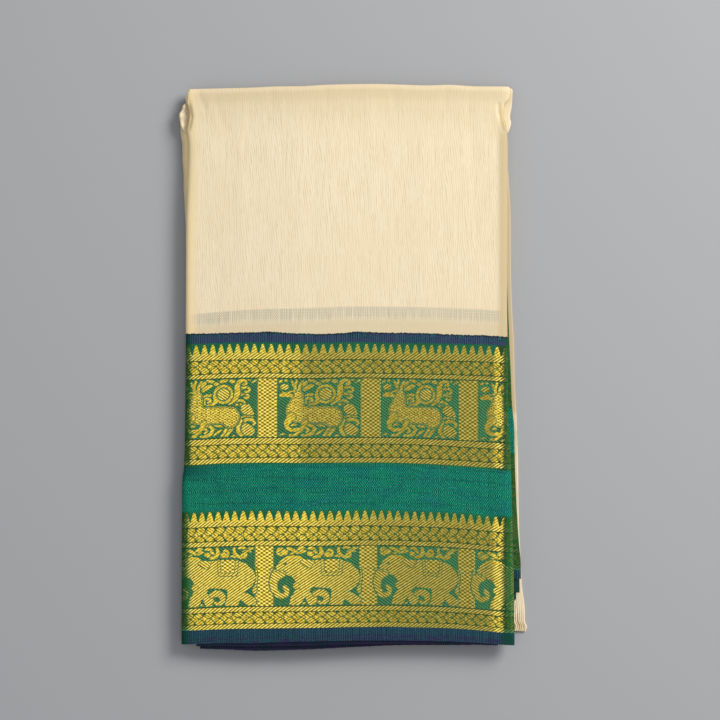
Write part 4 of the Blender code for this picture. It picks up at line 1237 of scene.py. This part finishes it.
# Painted shade along the side folds and on the cloth turned under past them, and faintly over the right
# half, against the stronger light there. It stops below the top corners.
SIDE_FOLD_SHADE = (
    (-230, 1), (-224, 1), (-219, 0.5), (-208, 0.45), (-203, 0.2), (-196, 0), (-191, 0.16), (-187, 0.3),
    (-182, 0.1), (-176, 0), (-40, 0), (60, 0.06), (137, 0.1), (140, 0.25), (143, 0.65), (146, 0.95),
    (152, 1), (190, 1),
)
side_fold_shade = along_table(u_mm, *ACROSS, SIDE_FOLD_SHADE) * below(v_mm, HOLLOW_HEIGHT, 16.0)
cream = mixed(side_fold_shade, cream, FOLD_SHADE_CREAM)
# Painted light: the cream paler over the left fold, which turns away from the lamps.
LEFT_FOLD_PAINTED_LIGHT = (
    (-230, 0), (-206, 0), (-201, 0.9), (-194, 0.95), (-190.5, 0.75), (-186, 0.45), (-181, 0.12),
    (-176, 0), (190, 0),
)
cream = mixed(along_table(u_mm, *ACROSS, LEFT_FOLD_PAINTED_LIGHT), cream, PAINTED_LIGHT_CREAM)
# Painted shade in the hollows beside the top corners, where the cloth dips by its creases.
for middle, lean, (across, along) in SHADED_HOLLOWS:
    past_middle = v_mm - HOLLOW_HEIGHT
    beside = (u_mm - middle - past_middle * lean) * (1 / across)
    upright = past_middle * (1 / along)
    hollow = clamped(1.0 - (beside * beside + upright * upright)) * 1.1
    cream = mixed(least(hollow, 0.62), cream, HOLLOW_SHADE_CREAM)

base = mixed(cover, ground, gold_colour)
base = mixed(seam_shadow * 0.8, base, SEAM_SHADOW_DARK)
base = mixed(tufts, base, TUFT_GREEN)
base = mixed(in_cream, base, cream)
gold_here = cover * (1.0 - in_cream)

silk_shader = threads_of["Principled BSDF"]
feed(silk_shader.inputs["Base Color"], base)
feed(silk_shader.inputs["Metallic"], gold_here * 0.45)
feed(silk_shader.inputs["Roughness"], 0.46 - gold_here * 0.08)
silk_shader.inputs["Specular IOR Level"].default_value = 0.08
silk_shader.inputs["Sheen Weight"].default_value = 0.01
silk_shader.inputs["Sheen Roughness"].default_value = 0.35
relief = gold_here * (float_height * 0.5 + 0.9)
ribs = (1.0 - gold_here) * streaks * 0.5
bump = threads_of.new("ShaderNodeBump")
bump.inputs["Distance"].default_value = 0.00022
bump.inputs["Strength"].default_value = 0.6
feed(bump.inputs["Height"], relief + ribs)
warp_on(bump.outputs[0], silk_shader.inputs["Normal"])


def declare(piece, nodes, flat):
    """Gives a leaf its silk and its body, and hides the nodes that it stands for. Its cut size is not used.
    """
    piece.data.materials.clear()
    piece.data.materials.append(silk)
    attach(piece, "root")
    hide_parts(*nodes)


declare(outer_body, ["outer_body"], (0.397, 0.265))
for piece, length in zip(border_pieces, (0.166, 0.169)):
    declare(piece, ["outer_border"], (0.397, length))


# Lower fold
# The leaf whose fold shows beside the outer one at the left, from near the top corner down to its selvedge.
# The same silk, turned over at the left and run back into the pack both ways.

LOWER_COLUMNS = ("y", "left")
LOWER_ROWS = (
    (0.286, -0.1838), (0.277, -0.1874), (0.256, -0.1868), (0.248, -0.1854), (0.21, -0.1839),
    (0.164, -0.1818), (0.115, -0.1806), (0.032, -0.1806), (-0.056, -0.1806), (-0.163, -0.1826),
    (-0.249, -0.1836), (-0.2905, -0.1834),
)
LOWER_FOLD_BASE = 0.0025
LOWER_FOLD_TOP = 0.0102
LOWER_TURN = 0.0075
FOLD_POINTS = 14
LEAF_STEP = 0.0045


def half_turn(edge, depth, base, top, rising, count=FOLD_POINTS):
    """Points round a fold at an edge, from its base to its top or the other way."""
    points = []
    for k in range(count + 1):
        angle = math.radians(-90 + 180 * k / count)
        x = edge - math.copysign(depth, edge) * (1 - math.cos(angle))
        points.append((x, (base + top) / 2 + (top - base) / 2 * math.sin(angle)))
    return points if rising else points[::-1]


def folded_leaf(name, rows, section, selvedge, first_u, first_v=0.0):
    """A leaf folded on itself: its outer face from its section at each y, then its thickness."""
    places, weave = [], []
    for y in rows:
        points = section(y)
        places.append([settle(x, y, z) for x, z in points])
        gone = itertools.accumulate(math.dist(a, b) for a, b in zip(points, points[1:]))
        weave.append([(first_u + reach / MM, first_v + (y - selvedge) / MM) for reach in (0.0, *gone)])
    leaf = lay_cloth(name, np.array(places), np.array(weave))
    thicken(leaf, SILK)
    return leaf


def lower_section(y):
    """The lower fold's section at y, from its lower arm round the fold to its upper arm."""
    left = eased(LOWER_ROWS, LOWER_COLUMNS, "left", y)
    left += 0.0004 * math.sin(41 * y + 2) * math.sin(170 * y)
    inner = left + LOWER_TURN + ARM
    fold = half_turn(left, LOWER_TURN, LOWER_FOLD_BASE, LOWER_FOLD_TOP, True)
    return [(inner, LOWER_FOLD_BASE), *fold, (inner, LOWER_FOLD_TOP)]


lower_end = LOWER_ROWS[-1][0]
lower_rows = steps(lower_end, LOWER_ROWS[0][0], LEAF_STEP)
lower_fold = folded_leaf("lower_fold", lower_rows, lower_section, lower_end, -222.0)
lower_nodes = ["lower_fold_body", "lower_fold_border"]
declare(lower_fold, lower_nodes, (0.031, 0.577))


# Inner leaves at the right
# Three folds of the same cloth that step out past the outer one, green below and cream above, their navy
# selvedges at different heights because the folds have slipped.

INNER_COLUMNS = ("y", "reach")
INNER_ROWS = (
    (0.244, 0.1618), (0.16, 0.1624), (0.104, 0.1644), (0.072, 0.1655), (0.038, 0.1668), (-0.008, 0.1688),
    (-0.027, 0.1695), (-0.06, 0.1722), (-0.084, 0.1727), (-0.113, 0.1736), (-0.158, 0.1757),
    (-0.186, 0.1778), (-0.201, 0.1792), (-0.243, 0.1798),
)
INNER_DEPTH = 0.04
INNER_LEAF_THICK = 0.0023
INNER_TOP_Y = 0.244
INNER_LEAVES = (
    ("inner_leaf_lower", 0.0025, -0.243, 0.0052, 124.0, 5.0),
    ("inner_leaf_middle", 0.0051, -0.235, 0.0016, 122.0, 2.0),
    ("inner_leaf_upper", 0.0077, -0.2195, 0.0, 127.0, 7.0),
)


def flat_fold(inner, outer, base, thick):
    """The section of a leaf pressed flat: in to its fold and back, the top first on the right."""
    half = thick / 2
    nose = half_turn(outer, half, base, base + thick, outer < 0, 10)
    ends = [(inner, base + thick), (inner + 0.5 * (outer - inner), base + thick)]
    back = [(inner + 0.5 * (outer - inner), base), (inner, base)]
    return [*ends, *nose, *back] if outer > 0 else [*back[::-1], *nose, *ends[::-1]]


for name, base, selvedge, inside, first_u, first_v in INNER_LEAVES:

    def section(y):
        reach = eased(INNER_ROWS, INNER_COLUMNS, "reach", y)
        return flat_fold(reach - INNER_DEPTH, reach - inside, base, INNER_LEAF_THICK)

    rows = steps(selvedge, INNER_TOP_Y, LEAF_STEP)
    leaf = folded_leaf(name + "_cloth", rows, section, selvedge, first_u, first_v)
    declare(leaf, [name], (0.079, INNER_TOP_Y - selvedge))


# Back leaf
# The leaf that the pack lies on, plain cream all the way down, folded on itself and flat on the table.
# At the lower right it has slipped out past the rest, and its end stands in small upright flutes.

BACK_COLUMNS = ("y", "left", "right")
BACK_ROWS = (
    (0.295, -0.17, 0.156), (0.29, -0.172, 0.162), (0.258, -0.176, 0.165), (0.243, -0.1768, 0.1648),
    (0.223, -0.1768, 0.1657), (0.198, -0.1766, 0.1673), (0.168, -0.1764, 0.1687), (0.104, -0.176, 0.1692),
    (0.056, -0.1758, 0.171), (0.031, -0.1757, 0.1725), (-0.008, -0.1758, 0.1731),
    (-0.03, -0.1763, 0.1745), (-0.103, -0.1784, 0.1768), (-0.157, -0.1792, 0.1776),
    (-0.201, -0.1796, 0.1797), (-0.227, -0.1798, 0.1808), (-0.241, -0.1799, 0.1827),
    (-0.253, -0.18, 0.184), (-0.267, -0.18, 0.1842), (-0.2722, -0.18, 0.1864), (-0.2775, -0.1799, 0.1849),
)
BACK_LEAF_THICK = 0.0022
BACK_SELVEDGE_Y = BACK_ROWS[-1][0]
FLUTED_FROM_Y = -0.24
FLUTED_WIDTH = 0.03
FLUTE_PITCH = 0.0021
FLUTE_HEIGHT = 0.0013
FLUTE_POINTS = 60
TUCKED_END = ((0.03, 0.0011), (-0.02, 0.0008), (-0.05, 0.0), (-0.12, 0.0))
BACK_UPPER_X = (-0.12, -0.06, 0.0, 0.06, 0.12)
BACK_LOWER_X = (0.12, 0.06, 0.015, -0.012)


def back_section(y):
    """The back leaf's section at y: from its tucked end under the middle, round the left fold and back."""
    left = eased(BACK_ROWS, BACK_COLUMNS, "left", y)
    right = eased(BACK_ROWS, BACK_COLUMNS, "right", y)
    half = BACK_LEAF_THICK / 2
    fluted = 1 - smooth_step(BACK_SELVEDGE_Y, FLUTED_FROM_Y, y)
    points = [*TUCKED_END, *half_turn(left, half, 0.0, BACK_LEAF_THICK, True, 8)]
    points += [(x, BACK_LEAF_THICK) for x in BACK_UPPER_X]
    for k in range(FLUTE_POINTS):
        x = right - half - FLUTED_WIDTH * (1 - k / FLUTE_POINTS)
        way = k / FLUTE_POINTS * FLUTED_WIDTH / FLUTE_PITCH
        uneven = 0.75 + 0.25 * math.sin(2.3 * way)
        rise = FLUTE_HEIGHT * fluted * smooth_step(0, 0.35, k / FLUTE_POINTS) * uneven
        flute = 0.6 + math.sin(2 * math.pi * way + 0.8 * math.sin(0.9 * way))
        points.append((x, BACK_LEAF_THICK + rise * flute))
    points += half_turn(right, half, 0.0, BACK_LEAF_THICK, False, 8)
    return points + [(x, 0.0) for x in BACK_LOWER_X]


back_rows = zones(BACK_SELVEDGE_Y, (-0.22, 0.0022), (0.24, 0.01), (BACK_ROWS[0][0], 0.004))
back_leaf = folded_leaf("back_leaf_cloth", back_rows, back_section, BACK_SELVEDGE_Y, -480.0, 372.0)
declare(back_leaf, ["back_leaf"], (0.745, 0.5725))


# Selvedges below
# The navy selvedges of two more folds, which show past the outer one along the lower edge. Each is several
# thin layers whose edges don't quite meet.

SELVEDGE_COLUMNS = ("x", "upper_end", "lower_end")
SELVEDGE_ROWS = (
    (-0.17, -0.2944, -0.2972), (-0.14, -0.2954, -0.299), (-0.1, -0.2968, -0.3014),
    (-0.057, -0.2968, -0.3009), (-0.003, -0.2956, -0.2986), (0.05, -0.2948, -0.2962),
    (0.09, -0.2942, -0.2954), (0.125, -0.2936, -0.2942), (0.154, -0.293, -0.2932),
)
SELVEDGE_DEPTH = 0.03
SELVEDGE_LAYERS = ((0.0021, 0.0), (0.0013, 0.0007), (0.0005, 0.0003))


def joined(name, parts):
    """Several meshes made one piece."""
    whole = parts[0]
    pick(whole)
    for part in parts:
        part.select_set(True)
    bpy.ops.object.join()
    whole.select_set(False)
    whole.name = whole.data.name = name
    return whole


for name, column, base, left, right in (
    ("selvedge_leaf_upper", "upper_end", 0.0207, -0.169, 0.154),
    ("selvedge_leaf_lower", "lower_end", 0.0183, -0.1652, 0.126),
):
    layers = []
    for top, short in SELVEDGE_LAYERS:
        places, weave = [], []
        start = SELVEDGE_Y + SELVEDGE_DEPTH
        across = steps(left, right, 0.0035)
        for share in steps(0.0, 1.0, 0.09):
            row, row_weave = [], []
            for x in across:
                end = eased(SELVEDGE_ROWS, SELVEDGE_COLUMNS, column, x)
                end += short * (1 + 0.5 * math.sin(83 * x + 900 * top)) + 0.00015 * math.sin(610 * x)
                y = end + share * (start - end)
                near = (1 - share) ** 2
                z = base + top + near * 0.00018 * math.sin(190 * x + 2500 * top)
                row.append(settle(x, y, z))
                row_weave.append((0.9 * thread_number(x) - 7, (y - end) / MM - 60.0 - 9 * top / MM))
            places.append(row)
            weave.append(row_weave)
        layer = lay_cloth(name + "_layer", np.array(places), np.array(weave))
        thicken(layer, SILK)
        layers.append(layer)
    leaf = joined(name + "_cloth", layers)
    declare(leaf, [name], (right - left, 0.099))


# Turned corners
# Small folds that stand out beside the top corners, where the layers under the outer leaf don't lie square.

CORNER_COLUMNS = ("y", "inner", "outer")
CORNER_LEAVES = {
    "corner_fold_left": (
        (0.294, -0.169, -0.1762),
        (0.29, -0.169, -0.1808),
        (0.2872, -0.169, -0.1842),
        (0.2842, -0.169, -0.185),
        (0.2818, -0.169, -0.1858),
        (0.279, -0.169, -0.1878),
        (0.2762, -0.169, -0.1882),
        (0.27, -0.169, -0.1872),
        (0.264, -0.169, -0.1862),
        (0.256, -0.17, -0.18),
    ),
    "corner_fold_right": (
        (0.304, 0.15, 0.1672),
        (0.3018, 0.15, 0.1704),
        (0.285, 0.15, 0.1696),
        (0.272, 0.15, 0.1674),
        (0.2664, 0.15, 0.1687),
        (0.26, 0.15, 0.1672),
        (0.256, 0.151, 0.1655),
    ),
}
CORNER_BASE = 0.0106
CORNER_THICK = 0.003
CORNER_ROLL = 0.0036
STANDS_UP = 0.0052
PUFF_Y = 0.2762
PUFF_RATE = 620

for name, outline in CORNER_LEAVES.items():

    def section(y):
        inner, outer = (eased(outline, CORNER_COLUMNS, column, y) for column in CORNER_COLUMNS[1:])
        near_end = min(y - outline[-1][0], outline[0][0] - y)
        half = CORNER_THICK / 2 * (0.6 + 0.4 * smooth_step(0.0, 0.003, near_end))
        base = CORNER_BASE + CORNER_THICK / 2 - half
        if name == "corner_fold_right":
            return flat_fold(inner, outer, base, 2 * half)
        puffed = 0.72 + 0.28 * math.cos(PUFF_RATE * (y - PUFF_Y))
        swell = STANDS_UP * smooth_step(0.001, 0.007, near_end) * puffed
        hollow = outer + CORNER_ROLL + 0.0012
        ear = half_turn(outer, CORNER_ROLL / 2, base, base + 2 * half + swell, True, 12)
        return [(inner, base), *ear, (hollow, base + 2 * half + 0.3 * swell), (inner, base + 2 * half)]

    rows = steps(outline[-1][0], outline[0][0], 0.0012)
    leaf = folded_leaf(name + "_cloth", rows, section, SELVEDGE_Y, -190.0)
    width = 2 * abs(outline[4][2] - outline[4][1]) + CORNER_THICK
    declare(leaf, [name], (width, outline[0][0] - outline[-1][0]))


# Hidden layers
# All the folds between the leaves that show, pressed on each other: each a pillowed layer with a round fold
# at its ends, none quite the length of the next.

CORE_BASE = 0.0026
CORE_TOP = 0.0225
CORE_LAYERS = 17
LAYER_HALF = 0.47
CORE_NEAR_Y = -0.2885
CORE_FAR_Y = 0.298
BESIDE = 0.005
NEARBY = 0.036
WALL = 0.0022
PRESSED_AT_TOP = (0.262, 0.283, 0.2)
PRESSED_AT_SELVEDGES = (0.24, 0.261, 0.21)
LAYER_ROUNDING = ((0.0, 0.0), (0.00015, 0.55), (0.0006, 0.92), (0.0015, 1.0))


def fold_room(edge, depth, base, top, z):
    """How far out a layer can reach inside a turned fold at height z."""
    rise = min(0.98, abs(z - (base + top) / 2) / ((top - base) / 2 - WALL))
    return edge - math.copysign(depth - (depth - WALL) * math.sqrt(1 - rise * rise), edge)


@functools.lru_cache(maxsize=None)
def innermost(rows, columns, name, y, choose):
    """The least or greatest value of a column near y."""
    return choose(eased(rows, columns, name, y + k * NEARBY / 2) for k in (-2, -1, 0, 1, 2))


def layer_ends(y, z):
    """The left and right ends that the folds leave to a hidden layer at y and height z."""
    left = innermost(OUTER_ROWS, OUTER_COLUMNS, "left", y, max)
    right = innermost(OUTER_ROWS, OUTER_COLUMNS, "right", y, min)
    base_left = innermost(OUTER_ROWS, OUTER_COLUMNS, "base_left", y, max)
    base_right = innermost(OUTER_ROWS, OUTER_COLUMNS, "base_right", y, max)
    lower = innermost(LOWER_ROWS, LOWER_COLUMNS, "left", y, max)
    if z < LOWER_FOLD_BASE + WALL:
        left_end = lower + LOWER_TURN + ARM + BESIDE
    elif z < LOWER_FOLD_TOP - WALL:
        left_end = fold_room(lower, LOWER_TURN, LOWER_FOLD_BASE, LOWER_FOLD_TOP, z)
    elif z < base_left + WALL:
        left_end = left + OUTER_TURN_LEFT + ARM + BESIDE
    else:
        left_end = fold_room(left, OUTER_TURN_LEFT, base_left, STACK_HEIGHT, z)
    if z < INNER_LEAVES[-1][1] + INNER_LEAF_THICK + 0.0006:
        right_end = innermost(INNER_ROWS, INNER_COLUMNS, "reach", y, min) - INNER_DEPTH - BESIDE
    elif z < base_right + WALL:
        right_end = right - OUTER_TURN_RIGHT - ARM - BESIDE
    else:
        right_end = fold_room(right, OUTER_TURN_RIGHT, base_right, STACK_HEIGHT, z)
    return left_end, right_end


def rounded(end, side, half, middle, angles):
    """Points round a layer's end, at angles in degrees. The side is 1 at the left, -1 at the right."""
    for turn in map(math.radians, angles):
        yield end + side * half * (1 + side * math.cos(turn)), middle + half * math.sin(turn)


layers = []
pitch = (CORE_TOP - CORE_BASE) / CORE_LAYERS
for k in range(CORE_LAYERS):
    near = CORE_NEAR_Y - 0.0008 * math.sin(2.1 * k)
    far = CORE_FAR_Y + 0.0009 * math.sin(2.7 * k + 1)
    swell = [(near + inset, share) for inset, share in LAYER_ROUNDING]
    swell += [(y, 1.0) for y in steps(near + 0.004, far - 0.004, 0.034)]
    swell += [(far - inset, share) for inset, share in LAYER_ROUNDING[::-1]]
    places, weave = [], []
    for y, share in swell:
        pressed = 1 - PRESSED_AT_TOP[2] * smooth_step(*PRESSED_AT_TOP[:2], y)
        pressed -= PRESSED_AT_SELVEDGES[2] * smooth_step(*PRESSED_AT_SELVEDGES[:2], -y)
        low = CORE_BASE + k * pitch * pressed
        middle = low + LAYER_HALF * pitch * pressed
        half = LAYER_HALF * pitch * pressed * share
        left, right = layer_ends(round(y, 4), middle)
        left += 0.0006 * (1 + math.sin(1.9 * k + 9 * y))
        right -= 0.0006 * (1 + math.sin(1.3 * k - 7 * y))
        around = [
            *rounded(left, 1, half, middle, (180, 130, 90)),
            *((left + (right - left) * step / 9, middle + half) for step in range(1, 9)),
            *rounded(right, -1, half, middle, (90, 50, 0, -50, -90)),
            *((left + (right - left) * step / 9, middle - half) for step in range(8, 0, -1)),
            *rounded(left, 1, half, middle, (270, 230, 180)),
        ]
        places.append([settle(x, y, z) for x, z in around])
        weave.append([(thread_number(x), (y - near) / MM) for x, z in around])
    layer = lay_cloth("hidden_layer", np.array(places), np.array(weave))
    cage = bmesh.new()
    cage.from_mesh(layer.data)
    bmesh.ops.remove_doubles(cage, verts=cage.verts, dist=1e-6)
    bmesh.ops.dissolve_degenerate(cage, edges=cage.edges, dist=1e-6)
    bmesh.ops.recalc_face_normals(cage, faces=cage.faces)
    cage.to_mesh(layer.data)
    cage.free()
    layers.append(layer)
hidden = joined("hidden_layers_stack", layers)
declare(hidden, ["hidden_layers"], (CORE_LAYERS * 0.34, 0.587))
